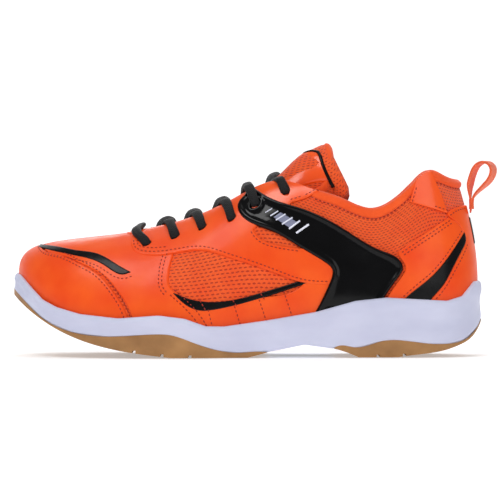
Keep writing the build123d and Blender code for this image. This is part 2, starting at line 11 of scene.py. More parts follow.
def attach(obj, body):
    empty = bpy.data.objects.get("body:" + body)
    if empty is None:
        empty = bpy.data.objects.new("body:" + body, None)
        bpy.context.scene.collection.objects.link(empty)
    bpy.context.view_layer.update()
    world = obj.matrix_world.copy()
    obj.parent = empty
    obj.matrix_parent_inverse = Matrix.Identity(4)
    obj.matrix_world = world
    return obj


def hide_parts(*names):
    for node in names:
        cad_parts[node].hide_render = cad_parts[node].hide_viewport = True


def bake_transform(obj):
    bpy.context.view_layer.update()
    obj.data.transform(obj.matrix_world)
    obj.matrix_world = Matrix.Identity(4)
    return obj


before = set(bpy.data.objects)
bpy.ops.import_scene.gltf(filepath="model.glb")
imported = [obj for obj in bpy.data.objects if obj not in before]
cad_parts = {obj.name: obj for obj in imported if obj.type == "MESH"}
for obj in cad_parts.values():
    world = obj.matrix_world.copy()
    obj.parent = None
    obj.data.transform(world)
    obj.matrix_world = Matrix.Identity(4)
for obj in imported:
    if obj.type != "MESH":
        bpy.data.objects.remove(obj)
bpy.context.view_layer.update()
scene = bpy.context.scene

# ------------------------------------------------------------------ sizes, in millimetres
MM = 0.001
MIDDLE_X = 4.0  # the CAD frame's origin in the tables below
OVERLAY = 1.1  # the glued synthetic panels
GAP = 0.2  # glue line between two skins
MESH = 1.2
REINFORCEMENT = 1.2
LINING = 1.0
CAGE_RISE = 1.6
RIM_WIDTH = 0.075  # share of v that the rolled collar edge takes
MESH_OUT = -OVERLAY - GAP
MESH_IN = MESH_OUT - MESH
CORE_OUT = MESH_IN - GAP
LINING_IN = MESH_IN - GAP - REINFORCEMENT - GAP - LINING
SHEET_T = 25.0  # flat length of one step of t
SHEET_V = 95.0  # flat height of the wall from feather line to opening
LACE_WIDE = 6.0
LACE_THICK = 3.0
LACE_LEAN = 5.0  # a strand crosses the edge this far nearer the toe than its eyelet
EYELET_R = 2.5
EYELETS = ((-61.7, 69.4), (-44.3, 73.8), (-27.6, 79.4), (-9.6, 84.9), (5.3, 93.0), (23.4, 101.2))
LATERAL, MEDIAL = -1, 1

# Heel seam to toe tip. Feather line: x, y lateral, y medial, z. Opening edge: x, y lateral,
# y medial, z. Shape of the wall between: flare and lift off the feather, reach and drop off the edge.
STATIONS = [
    (139.5, 0, 0, 24, 131, 0, 0, 109, 8.4, 26, 6, 19),
    (131, -21, 21, 22.5, 124, -12.5, 12.5, 110.5, 8, 27, 5, 20),
    (114, -30.5, 30.5, 20.5, 112, -20, 20, 114, 6.5, 28, 4, 24),
    (97, -33.5, 32, 19.5, 98, -25, 25, 103, 5.5, 28, 4, 24),
    (78, -35, 31, 18.5, 79, -28.5, 27, 90.5, 5, 26, 3.5, 20),
    (58, -36, 30, 17, 59, -29, 27, 96.3, 5, 26, 5, 20),
    (37, -37, 29.5, 14.5, 40, -26, 24.5, 103, 5, 28, 8, 16),
    (15, -39, 31.5, 12, 22, -21, 20.5, 108, 5, 30, 13, 13),
    (-10, -43, 34.5, 10.5, 4, -17, 16.5, 103.5, 5, 32, 15, 10),
    (-35, -47, 40, 10, -16, -15, 14.5, 93, 5, 32, 16, 8),
    (-62, -47.5, 46, 11, -37, -13.5, 13.5, 84.5, 5, 32, 17, 6),
    (-92, -42, 47.5, 15.5, -56, -12, 12, 79.5, 6, 34, 24, 5),
    (-122, -26, 38, 27, -66, -8, 9, 77.3, 8, 36, 42, 6),
    (-139.5, 8, 8, 38, -69.5, 0, 0, 76.5, 10.6, 36, 56, 7.5),
]
TOE = len(STATIONS) - 1
LAPS = 2 * TOE
TOE_LINE = TOE * SHEET_T  # the sheet's x along the shoe's middle line at the toe


# ------------------------------------------------------------------ small sums
def unit(vectors):
    return vectors / np.linalg.norm(vectors, axis=-1, keepdims=True)


def run_of(points):
    """Distance walked along a line of points, from 0 at the first."""
    return np.concatenate([[0], np.cumsum(np.linalg.norm(np.diff(points, axis=0), axis=1))])


def at_run(distance, run, rows):
    """The row, or rows, at a distance along a line of rows."""
    return np.array([np.interp(distance, run, column) for column in np.asarray(rows).T]).T


def eased(share):
    """A share from 0 to 1, made to start and end softly."""
    return share * share * (3 - 2 * share)


def edges_of(corners):
    """The straight runs of a closed outline."""
    return [[a, b] for a, b in zip(corners, corners[1:] + corners[:1])]


# ------------------------------------------------------------------ the body surface
def ring_rows():
    lateral = [(x, yl, z, ex, eyl, ez, *h) for x, yl, _, z, ex, eyl, _, ez, *h in STATIONS]
    medial = [(x, ym, z, ex, eym, ez, *h) for x, _, ym, z, ex, _, eym, ez, *h in STATIONS]
    return np.array(lateral + medial[-2:0:-1], float)


ROWS = ring_rows()
SLOPES = np.linalg.solve(
    4 * np.eye(LAPS) + np.roll(np.eye(LAPS), 1, 1) + np.roll(np.eye(LAPS), -1, 1),
    3 * (np.roll(ROWS, -1, 0) - np.roll(ROWS, 1, 0)))


def station(t):
    t = np.mod(np.atleast_1d(np.asarray(t, float)), LAPS)
    i = np.floor(t).astype(int) % LAPS
    u = (t - np.floor(t))[:, None]
    j = (i + 1) % LAPS
    return (ROWS[i] * (2 * u**3 - 3 * u**2 + 1) + SLOPES[i] * (u**3 - 2 * u**2 + u)
            + ROWS[j] * (3 * u**2 - 2 * u**3) + SLOPES[j] * (u**3 - u**2))


def body(t, v, depth=0.0):
    """Points of the body surface in millimetres, moved out by depth along the wall's own normal."""
    t, v, depth = np.broadcast_arrays(*(np.atleast_1d(np.asarray(a, float)) for a in (t, v, depth)))
    s = station(t)
    out = s[:, 0:2] - s[:, 3:5]
    span = np.linalg.norm(out, axis=1)
    flare, lift, reach, drop = s[:, 6:].T
    zero = np.zeros_like(span)
    cage = np.stack([
        np.stack([span, s[:, 2]], 1), np.stack([span + flare, s[:, 2] + lift], 1),
        np.stack([reach, s[:, 5] - drop], 1), np.stack([zero, s[:, 5]], 1)], 1)
    legs = np.diff(cage, axis=1)
    legs = unit(legs)
    normal = np.stack([legs[..., 1], -legs[..., 0]], 2)
    shift = np.empty_like(cage)
    shift[:, 0], shift[:, 3] = normal[:, 0], normal[:, 2]
    for k in (1, 2):
        a, b = normal[:, k - 1], normal[:, k]
        shift[:, k] = (a + b) / (1 + (a * b).sum(1, keepdims=True))
    cage = cage + depth[:, None, None] * shift
    w = np.stack([(1 - v)**3, 3 * v * (1 - v)**2, 3 * v**2 * (1 - v), v**3], 1)
    r, z = (cage * w[:, :, None]).sum(1).T
    plan = s[:, 3:5] + out / span[:, None] * r[:, None]
    return np.column_stack([plan, z])


def body_normal(t, v):
    n = body(t, v, 1.0) - body(t, v, 0.0)
    du = body(np.asarray(t) + 0.01, v) - body(np.asarray(t) - 0.01, v)
    dv = body(t, np.clip(np.asarray(v) + 0.004, 0, 1)) - body(t, np.clip(np.asarray(v) - 0.004, 0, 1))
    true = np.cross(du, dv)
    true = unit(true)
    return true * np.sign((true * n).sum(1, keepdims=True))


def near_heel(t):
    t = np.mod(t, LAPS)
    return np.minimum(t, LAPS - t)


def below_rim(t):
    share = np.clip((near_heel(t) - 6.2) / 1.2, 0, 1)
    return 1 - (RIM_WIDTH + 0.006) * (1 - eased(share))


# ------------------------------------------------------------------ curves and places on the sheet
def natural_curve(points, step):
    """Points about a step apart along the cubic curve through the given ones."""
    p = np.array(points, float)
    if len(p) == 2:
        n = max(1, int(np.ceil(np.linalg.norm(p[1] - p[0]) / step)))
        return p[0] + (p[1] - p[0]) * np.linspace(0, 1, n + 1)[:, None]
    h = np.linalg.norm(np.diff(p, axis=0), axis=1)
    k = np.concatenate([[0], np.cumsum(h)])
    n = len(p)
    a = np.eye(n)
    rhs = np.zeros((n, p.shape[1]))
    for i in range(1, n - 1):
        a[i, i - 1:i + 2] = h[i - 1], 2 * (h[i - 1] + h[i]), h[i]
        rhs[i] = 6 * ((p[i + 1] - p[i]) / h[i] - (p[i] - p[i - 1]) / h[i - 1])
    m = np.linalg.solve(a, rhs)
    s = np.linspace(0, k[-1], max(2, int(np.ceil(k[-1] / step)) + 1))
    i = np.clip(np.searchsorted(k, s, side="right") - 1, 0, n - 2)
    d, e, hi = (s - k[i])[:, None], (k[i + 1] - s)[:, None], h[i][:, None]
    return ((m[i] * e**3 + m[i + 1] * d**3) / (6 * hi) + (p[i] / hi - m[i] * hi / 6) * e
            + (p[i + 1] / hi - m[i + 1] * hi / 6) * d)


def chain(*runs, step=1.3):
    """One line through the runs: a run of two points is straight and a longer one is a curve."""
    parts = [natural_curve(run, step) for run in runs]
    line = [parts[0]]
    for part in parts[1:]:
        first = 1 if np.linalg.norm(part[0] - line[-1][-1]) < 0.3 else 0
        line.append(part[first:])
    return np.concatenate(line)


GRID_T, GRID_V = np.meshgrid(np.arange(0, TOE + 0.01, 0.1), np.linspace(0, 1, 61), indexing="ij")
GRID = {}
for side in (LATERAL, MEDIAL):
    ts = GRID_T.ravel() if side == LATERAL else LAPS - GRID_T.ravel()
    GRID[side] = (ts, GRID_V.ravel(), body(ts, GRID_V.ravel())[:, [0, 2]])


def locate(points, side):
    """t and v of the body's points that have those x and z, on one side of the shoe."""
    points = np.atleast_2d(np.array(points, float))
    ts, vs, xz = GRID[side]
    near = np.array([np.argmin(((xz - p)**2).sum(1)) for p in points])
    t, v = ts[near].copy(), vs[near].copy()
    low, high = (0, TOE) if side == LATERAL else (TOE, LAPS)
    for _ in range(8):
        here = body(t, v)[:, [0, 2]]
        dt = (body(t + 1e-3, v)[:, [0, 2]] - here) / 1e-3
        dv = (body(t, v + 1e-3)[:, [0, 2]] - here) / 1e-3
        error = points - here
        det = dt[:, 0] * dv[:, 1] - dt[:, 1] * dv[:, 0]
        det = np.where(np.abs(det) < 1e-6, 1e-6, det)
        t = np.clip(t + np.clip((error[:, 0] * dv[:, 1] - error[:, 1] * dv[:, 0]) / det, -.5, .5),
                    low, high)
        v = np.clip(v + np.clip((dt[:, 0] * error[:, 1] - dt[:, 1] * error[:, 0]) / det, -.1, .1),
                    0, 1)
    return np.column_stack([t, v])


def on_side(runs, side, step=1.3):
    """A chain drawn in x and z, as sheet points on one side. The sheet's axes are flat millimetres."""
    tv = locate(chain(*runs, step=step), side)
    return tv * (SHEET_T, SHEET_V)


# ------------------------------------------------------------------ meshes
def new_mesh(name, verts, faces, material, uv=None, smooth=True, rides="shoe"):
    """A piece from millimetre points of the tables' frame. uv is one pair per vertex."""
    mesh = bpy.data.meshes.new(name)
    place = (np.asarray(verts) - (MIDDLE_X, 0, 0)) * MM
    mesh.from_pydata([tuple(p) for p in place], [], [tuple(f) for f in faces])
    if uv is not None:
        layer = mesh.uv_layers.new(name="flat")
        loops = np.zeros(len(mesh.loops), int)
        mesh.loops.foreach_get("vertex_index", loops)
        layer.data.foreach_set("uv", np.asarray(uv, float)[loops].ravel())
    if smooth:
        mesh.polygons.foreach_set("use_smooth", [True] * len(mesh.polygons))
    mesh.update()
    mesh.validate()
    piece = bpy.data.objects.new(name, mesh)
    scene.collection.objects.link(piece)
    if material:
        mesh.materials.append(material)
    if rides:
        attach(piece, rides)
    return piece


def turned_out(piece):
    """The piece with all its faces looking outwards."""
    bm = bmesh.new()
    bm.from_mesh(piece.data)
    bmesh.ops.recalc_face_normals(bm, faces=bm.faces)
    bm.to_mesh(piece.data)
    bm.free()
    return piece


def offset_line(line, distance, closed=True):
    """The line moved sideways: inwards for a closed line that runs anticlockwise, else to its left."""
    line = np.asarray(line, float)
    if closed:
        ahead, back = np.roll(line, -1, 0), np.roll(line, 1, 0)
    else:
        ahead, back = np.vstack([line[1:], line[-1]]), np.vstack([line[0], line[:-1]])
    along = ahead - back
    along /= np.maximum(np.linalg.norm(along, axis=1, keepdims=True), 1e-9)
    return line + np.column_stack([-along[:, 1], along[:, 0]]) * distance


def signed_area(line):
    x, y = line[:, 0], line[:, 1]
    return 0.5 * np.sum(x * np.roll(y, -1) - np.roll(x, -1) * y)


def inside(points, line):
    a, b = line, np.roll(line, -1, 0)
    odd = np.zeros(len(points), bool)
    for (x1, y1), (x2, y2) in zip(a, b):
        crosses = (y1 > points[:, 1]) != (y2 > points[:, 1])
        odd ^= crosses & (points[:, 0] < (x2 - x1) * (points[:, 1] - y1) / (y2 - y1 + 1e-12) + x1)
    return odd


def gap_to(points, line, closed=True):
    """Distance from each point to the line."""
    a = line if closed else line[:-1]
    b = np.roll(line, -1, 0) if closed else line[1:]
    d = b - a
    best = np.full(len(points), 1e9)
    for start, step in zip(a, d):
        s = np.clip(((points - start) @ step) / max(step @ step, 1e-12), 0, 1)
        best = np.minimum(best, np.linalg.norm(points - start - s[:, None] * step, axis=1))
    return best


def resampled(line, step):
    """A closed line with points a step apart, corners kept where it turns sharply."""
    line = np.asarray(line, float)
    keep = [line[0]]
    for p in line[1:]:
        if np.linalg.norm(p - keep[-1]) > 0.45 * step:
            keep.append(p)
    if np.linalg.norm(keep[-1] - keep[0]) < 0.45 * step:
        keep.pop()
    out = []
    for a, b in zip(keep, keep[1:] + keep[:1]):
        n = max(1, int(round(np.linalg.norm(b - a) / step)))
        out += [a + (b - a) * i / n for i in range(n)]
    return np.array(out)


def sheet_region(outline, holes=(), grid=2.4, insets=(0.28, 0.7, 1.3), step=1.3):
    """Triangles over a closed outline on the sheet: points, triangles, and gap to the edge."""
    loops = [resampled(outline, step)] + [resampled(h, 0.7) for h in holes]
    loops[0] = loops[0] if signed_area(loops[0]) > 0 else loops[0][::-1]
    loops[1:] = [h if signed_area(h) < 0 else h[::-1] for h in loops[1:]]
    cloud = [np.concatenate(loops)]
    for inset in insets:
        for loop in loops:
            moved = offset_line(loop, inset)
            ok = np.min([gap_to(moved, other) for other in loops], 0) > inset * 0.82
            ok &= inside(moved, loops[0])
            cloud.append(moved[ok])
    low, high = loops[0].min(0), loops[0].max(0)
    xs = np.arange(low[0], high[0], grid)
    ys = np.arange(low[1], high[1], grid * 0.87)
    hexes = np.array([(x + (grid / 2 if j % 2 else 0), y) for j, y in enumerate(ys) for x in xs])
    if len(hexes):
        far = inside(hexes, loops[0])
        hexes = hexes[far]
        hexes = hexes[np.min([gap_to(hexes, loop) for loop in loops], 0) > insets[-1] + grid * 0.4]
        hexes = hexes[[not any(inside(p[None], h)[0] for h in loops[1:]) for p in hexes]]
        cloud.append(hexes)
    points = np.concatenate(cloud)
    edges, at = [], 0
    for loop in loops:
        n = len(loop)
        edges += [(at + i, at + (i + 1) % n) for i in range(n)]
        at += n
    result = delaunay_2d_cdt([Vector(p) for p in points], edges, [], 1, 1e-4)
    flat = np.array([tuple(p) for p in result[0]])
    centre = np.array([flat[list(f)].mean(0) for f in result[2]])
    wanted = inside(centre, loops[0])
    for hole in loops[1:]:
        wanted &= ~inside(centre, hole)
    faces = [f for f, w in zip(result[2], wanted) if w]
    gap = np.min([gap_to(flat, loop) for loop in loops], 0)
    return flat, faces, gap


def boundary_edges(faces):
    """Directed edges used by one face only."""
    seen = {}
    for f in faces:
        for a, b in zip(f, tuple(f[1:]) + (f[0],)):
            seen[(a, b)] = seen.get((a, b), 0) + 1
    return [(a, b) for a, b in seen if (b, a) not in seen]


def panel(name, outline, look, top=0.0, thickness=OVERLAY, round_off=0.55, puff=0.0,
          holes=(), shape=None, replaces=(), grid=2.4, insets=(0.28, 0.7, 1.3),
          outline_step=1.3):
    """A sheet piece laid on the body: a closed solid with a rounded edge, in one of the looks."""
    flat, faces, gap = sheet_region(outline, holes, grid, insets, outline_step)
    rounded = np.clip(gap / round_off, 0, 1)
    height = top - round_off * (1 - np.sqrt(np.maximum(1 - (1 - rounded)**2, 0)))
    swell = np.clip(gap / 7, 0, 1)
    height = height + puff * eased(swell)
    if shape is not None:
        height = height + shape(flat, gap)
    t, v = flat[:, 0] / SHEET_T, np.clip(flat[:, 1] / SHEET_V, 0, 1)
    upper = body(t, v, height)
    lower = body(t, v, np.minimum(top - thickness, height - 0.2))
    n = len(flat)
    a, b, c = upper[faces[0][0]], upper[faces[0][1]], upper[faces[0][2]]
    middle = body_normal(t[[faces[0][0]]], np.clip(v[[faces[0][0]]], 0.02, 0.98))[0]
    turn = np.dot(np.cross(b - a, c - a), middle) < 0
    up = [tuple(f[::-1]) if turn else tuple(f) for f in faces]
    down = [tuple(i + n for i in f[::-1]) for f in up]
    side = [(b, a, a + n, b + n) for a, b in boundary_edges(up)]
    piece = new_mesh(name, np.concatenate([upper, lower]), up + down + side, MAT[look],
                     np.concatenate([flat, flat]))
    if replaces:
        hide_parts(*replaces)
    return piece


# ------------------------------------------------------------------ stitches
def stitch_rows(name, lines, material, length=2.1, pitch=2.9, width=0.62, height=0.34, lift=0.0):
    """Short capsules of thread along lines on the sheet. Each line is (points, depth)."""
    ring, stations_ = 6, np.linspace(-1, 1, 6)
    angle = np.linspace(0, 2 * np.pi, ring, endpoint=False)
    round_ = np.sqrt(np.maximum(1 - np.abs(stations_)**3, 0.02))
    form = np.array([(s * length / 2, r * np.cos(a) * width / 2, r * np.sin(a) * height / 2 + height *
                      (0.25 - 0.5 * s * s)) for s, r in zip(stations_, round_) for a in angle])
    cells = [(i * ring + k, i * ring + (k + 1) % ring, (i + 1) * ring + (k + 1) % ring,
              (i + 1) * ring + k) for i in range(len(stations_) - 1) for k in range(ring)]
    cells += [tuple(range(ring))[::-1], tuple(range((len(stations_) - 1) * ring,
                                                    len(stations_) * ring))]
    verts, faces = [], []
    for line, depth in lines:
        line = np.asarray(line, float)
        t, v = line[:, 0] / SHEET_T, np.clip(line[:, 1] / SHEET_V, 0, 1)
        track = body(t, v, depth + lift)
        run = run_of(track)
        for s in np.arange(pitch / 2, run[-1] - pitch / 2, pitch):
            at = [np.interp(s, run, c) for c in (t, v)]
            here = at_run(s, run, track)
            ahead = at_run(min(s + 0.6, run[-1]), run, track)
            along = ahead - at_run(max(s - 0.6, 0), run, track)
            along = unit(along)
            up = body_normal(at[0], np.clip(at[1], 0.02, 0.98))[0]
            up -= along * (up @ along)
            up = unit(up)
            across = np.cross(up, along)
            base = len(verts) * len(form)
            verts.append(here + form @ np.array([along, across, up]))
            faces += [tuple(base + i for i in f) for f in cells]
    return new_mesh(name, np.concatenate(verts), faces, material)


# ------------------------------------------------------------------ materials
def srgb(r, g, b):
    return tuple((c / 255 / 12.92) if c <= 10 else ((c / 255 + 0.055) / 1.055)**2.4
                 for c in (r, g, b)) + (1.0,)


class Nodes:
    """A material's node tree with short calls for the nodes used here."""

    def __init__(self, name, **shader):
        self.material = bpy.data.materials.new(name)
        self.material.use_nodes = True
        self.tree = self.material.node_tree
        self.shader = self.tree.nodes["Principled BSDF"]
        for socket, value in shader.items():
            self.shader.inputs[socket.replace("_", " ")].default_value = value
        self.flat = self.node("ShaderNodeTexCoord").outputs["UV"]
        self.place = self.node("ShaderNodeTexCoord").outputs["Object"]

    def node(self, kind, **settings):
        made = self.tree.nodes.new(kind)
        for key, value in settings.items():
            setattr(made, key, value)
        return made

    def feed(self, socket, value):
        if isinstance(value, bpy.types.NodeSocket):
            self.tree.links.new(value, socket)
        else:
            socket.default_value = value

    def math(self, operation, a, b=0.0, c=0.0):
        made = self.node("ShaderNodeMath", operation=operation)
        for socket, value in zip(made.inputs, (a, b, c)):
            self.feed(socket, value)
        return made.outputs[0]

    def times(self, a, b):
        return self.math("MULTIPLY", a, b)

    def plus(self, a, b):
        return self.math("ADD", a, b)

    def split(self, vector):
        """The x, y and z of a vector."""
        made = self.node("ShaderNodeSeparateXYZ")
        self.feed(made.inputs[0], vector)
        return made.outputs

    def mixed(self, share, a, b):
        """Colour a, with that share of colour b."""
        made = self.node("ShaderNodeMix", data_type="RGBA")
        self.feed(made.inputs["Factor"], share)
        self.feed(made.inputs["A"], a)
        self.feed(made.inputs["B"], b)
        return made.outputs["Result"]

    def scaled(self, coordinates, scale, turn=0.0):
        made = self.node("ShaderNodeMapping")
        self.feed(made.inputs["Vector"], coordinates)
        made.inputs["Scale"].default_value = scale if isinstance(scale, tuple) else (scale,) * 3
        made.inputs["Rotation"].default_value = (0, 0, turn)
        return made.outputs[0]

    def noise(self, coordinates, scale, detail=3.0, rough=0.5):
        made = self.node("ShaderNodeTexNoise")
        self.feed(made.inputs["Vector"], coordinates)
        made.inputs["Scale"].default_value = scale
        made.inputs["Detail"].default_value = detail
        made.inputs["Roughness"].default_value = rough
        return made.outputs[0]

    def cells(self, coordinates, scale, feature="F1"):
        made = self.node("ShaderNodeTexVoronoi", feature=feature)
        self.feed(made.inputs["Vector"], coordinates)
        made.inputs["Scale"].default_value = scale
        return made.outputs[0]

    def between(self, value, low, high, out_low=0.0, out_high=1.0):
        made = self.node("ShaderNodeMapRange", interpolation_type="SMOOTHSTEP")
        self.feed(made.inputs[0], value)
        for socket, number in zip(made.inputs[1:5], (low, high, out_low, out_high)):
            socket.default_value = number
        return made.outputs[0]

    def ramp(self, value, *stops):
        made = self.node("ShaderNodeValToRGB")
        self.feed(made.inputs[0], value)
        band = made.color_ramp.elements
        for i, (at, colour) in enumerate(stops):
            element = band[i] if i < 2 else band.new(at)
            element.position = at
            element.color = colour
        return made.outputs[0]

    def bump(self, height, distance, strength=1.0, under=None):
        made = self.node("ShaderNodeBump")
        self.feed(made.inputs["Height"], height)
        made.inputs["Distance"].default_value = distance
        made.inputs["Strength"].default_value = strength
        if under is not None:
            self.feed(made.inputs["Normal"], under)
        return made.outputs[0]

    def finish(self, colour=None, rough=None, normal=None):
        for socket, value in (("Base Color", colour), ("Roughness", rough), ("Normal", normal)):
            if value is not None:
                self.feed(self.shader.inputs[socket], value)
        return self.material


ORANGE_DEEP = srgb(246, 74, 14)
ORANGE_LIGHT = srgb(255, 96, 26)


def synthetic(name, low, high, rough=(0.34, 0.46), coat=0.12, grain=0.05, spec=0.22):
    """Coated synthetic leather: a fine pebble grain under a clear film, a little uneven in gloss."""
    m = Nodes(name, Coat_Weight=coat, Coat_Roughness=0.16, Specular_IOR_Level=spec)
    cloud = m.noise(m.scaled(m.place, 45.0), 1.0, 4.0)
    pebble = m.cells(m.place, 1500.0)
    fine = m.noise(m.place, 2600.0, 2.0)
    height = m.plus(m.times(pebble, 0.7), m.times(fine, 0.5))
    return m.finish(m.ramp(cloud, (0.3, low), (0.72, high)),
                    m.between(m.noise(m.place, 120.0), 0.3, 0.7, *rough),
                    m.bump(height, 0.00006, grain * 6,
                           m.bump(m.noise(m.place, 220.0, 2.0), 0.0004, 0.12)))


def open_mesh(name, low, high, hole, step_u=3.6, step_v=2.3, size_u=0.62, size_v=0.34, turn=0.0):
    """Spacer mesh: staggered rows of short slots in a fine knit. The slots are coloured darker: the
    layer beneath, with painted shade inside them.
    """
    m = Nodes(name, Sheen_Weight=0.25, Sheen_Roughness=0.5, Specular_IOR_Level=0.25)
    wobble = m.node("ShaderNodeVectorMath", operation="ADD")
    shake = m.node("ShaderNodeVectorMath", operation="SCALE")
    jitter = m.node("ShaderNodeTexNoise")
    m.feed(jitter.inputs["Vector"], m.flat)
    jitter.inputs["Scale"].default_value = 0.35
    m.feed(shake.inputs[0], jitter.outputs["Color"])
    shake.inputs["Scale"].default_value = 0.9
    m.feed(wobble.inputs[0], m.scaled(m.flat, (1.0, 1.0, 1.0), turn))
    m.feed(wobble.inputs[1], shake.outputs[0])
    where = m.split(wobble.outputs[0])
    v = m.math("DIVIDE", where[1], step_v)
    row = m.math("FLOOR", v)
    u = m.plus(m.math("DIVIDE", where[0], step_u), m.times(row, 0.5))
    du = m.math("ABSOLUTE", m.math("SUBTRACT", m.math("FRACT", u), 0.5))
    dv = m.math("ABSOLUTE", m.math("SUBTRACT", m.math("FRACT", v), 0.5))
    du = m.math("DIVIDE", du, size_u * 0.5)
    dv = m.math("DIVIDE", dv, size_v * 0.5)
    slot = m.plus(m.math("POWER", du, 2.5), m.math("POWER", dv, 2.0))
    mask = m.between(slot, 0.35, 1.25, 1.0, 0.0)
    knit_u = m.math("SINE", m.times(where[0], 7.5))
    knit_v = m.math("SINE", m.times(where[1], 8.5))
    knit = m.times(knit_u, knit_v)
    fuzz = m.noise(m.place, 1800.0, 2.0)
    tone = m.ramp(m.noise(m.place, 60.0), (0.3, low), (0.7, high))
    # painted shade: the slots take the hole colour, the layer beneath darkened as if shaded inside them
    shade = m.mixed(m.times(mask, 0.85), tone, hole)
    height = m.math("SUBTRACT", m.times(knit, 0.18), mask)
    height = m.plus(height, m.times(fuzz, 0.25))
    return m.finish(shade, m.between(fuzz, 0.2, 0.8, 0.6, 0.8),
                    m.bump(height, 0.00045, 0.8))


def tread(name, low, high):
    """Gum rubber: fine grain, and a chevron relief in the faces that meet the floor, with painted shade
    in its grooves.
    """
    m = Nodes(name, Specular_IOR_Level=0.4)
    where = m.split(m.place)
    lean = m.times(m.math("ABSOLUTE", where[1]), 900.0)
    wave = m.math("SINE", m.plus(m.times(where[0], 1100.0), lean))
    lug = m.between(wave, -0.35, 0.1)
    facing = m.node("ShaderNodeNewGeometry")
    down = m.split(facing.outputs["True Normal"])
    under = m.between(down[2], -0.95, -0.6, 1.0, 0.0)
    cloud = m.noise(m.place, 55.0, 3.0)
    grain = m.noise(m.place, 2200.0, 2.0)
    # painted shade: the grooves between the lugs, on the faces that meet the floor, are coloured darker
    # brown
    groove_shade = m.times(m.math("SUBTRACT", 1.0, lug), m.times(under, 0.55))
    shade = m.mixed(groove_shade, m.ramp(cloud, (0.3, low), (0.7, high)), srgb(96, 62, 28))
    height = m.plus(m.times(m.times(lug, under), 1.0),
                    m.times(grain, 0.06))
    return m.finish(shade, m.between(cloud, 0.3, 0.7, 0.45, 0.6),
                    m.bump(height, 0.0009, 0.9))


def knit(name, low, high, scale=1.0, sheen=0.3, rough=0.85, depth=0.0002):
    """A close brushed knit: fine stitches in rows, with lint."""
    m = Nodes(name, Sheen_Weight=sheen, Sheen_Roughness=0.5, Specular_IOR_Level=0.2)
    rows = m.noise(m.scaled(m.place, (900 * scale, 900 * scale, 1500 * scale)), 1.0, 2.0)
    lint = m.noise(m.place, 3000.0 * scale, 3.0)
    height = m.plus(rows, m.times(lint, 0.5))
    return m.finish(m.ramp(m.plus(m.times(m.noise(m.place, 70.0), 0.7),
                                  m.times(rows, 0.3)), (0.3, low), (0.7, high)),
                    m.between(lint, 0.2, 0.8, rough - 0.1, rough + 0.08), m.bump(height, depth, 0.7))


def moulded(name, low, high, rough=(0.18, 0.3), coat=0.5, grain=0.1, scale=1.0, spec=0.5):
    """Injection-moulded plastic or foam: a faint flow pattern and fine grain."""
    m = Nodes(name, Coat_Weight=coat, Coat_Roughness=0.12, Specular_IOR_Level=spec)
    flow = m.noise(m.scaled(m.place, (30.0 * scale, 30.0 * scale, 70.0 * scale)), 1.0, 3.0)
    skin_ = m.noise(m.place, 1400.0 * scale, 3.0)
    return m.finish(m.ramp(flow, (0.32, low), (0.7, high)),
                    m.between(m.noise(m.place, 90.0), 0.3, 0.7, *rough),
                    m.bump(skin_, 0.00008, grain, m.bump(flow, 0.0006, grain * 0.8)))


def woven(name, low, high, along=1.1, across=0.8, rough=0.6, sheen=0.2, depth=0.00025):
    """Braid or webbing: crossing yarns in the piece's own flat millimetres, with painted shade between
    the yarns and a painted highlight on their crowns.
    """
    m = Nodes(name, Sheen_Weight=sheen, Specular_IOR_Level=0.3)
    where = m.split(m.flat)
    a = m.plus(m.math("DIVIDE", where[0], along),
               m.math("DIVIDE", where[1], across))
    b = m.math("SUBTRACT", m.math("DIVIDE", where[0], along),
               m.math("DIVIDE", where[1], across))
    ridge_a = m.math("ABSOLUTE", m.math("SINE", m.times(a, math.pi)))
    ridge_b = m.math("ABSOLUTE", m.math("SINE", m.times(b, math.pi)))
    yarn = m.times(ridge_a, ridge_b)
    lint = m.noise(m.place, 2500.0, 3.0)
    height = m.plus(yarn, m.times(lint, 0.35))
    # painted shade and highlight: the colour is darker between the yarns and lighter on their crowns
    return m.finish(m.ramp(m.plus(m.times(yarn, 0.6), m.times(lint, 0.4)),
                           (0.15, low), (0.75, high)),
                    m.between(lint, 0.2, 0.8, rough - 0.08, rough + 0.12), m.bump(height, depth, 0.8))


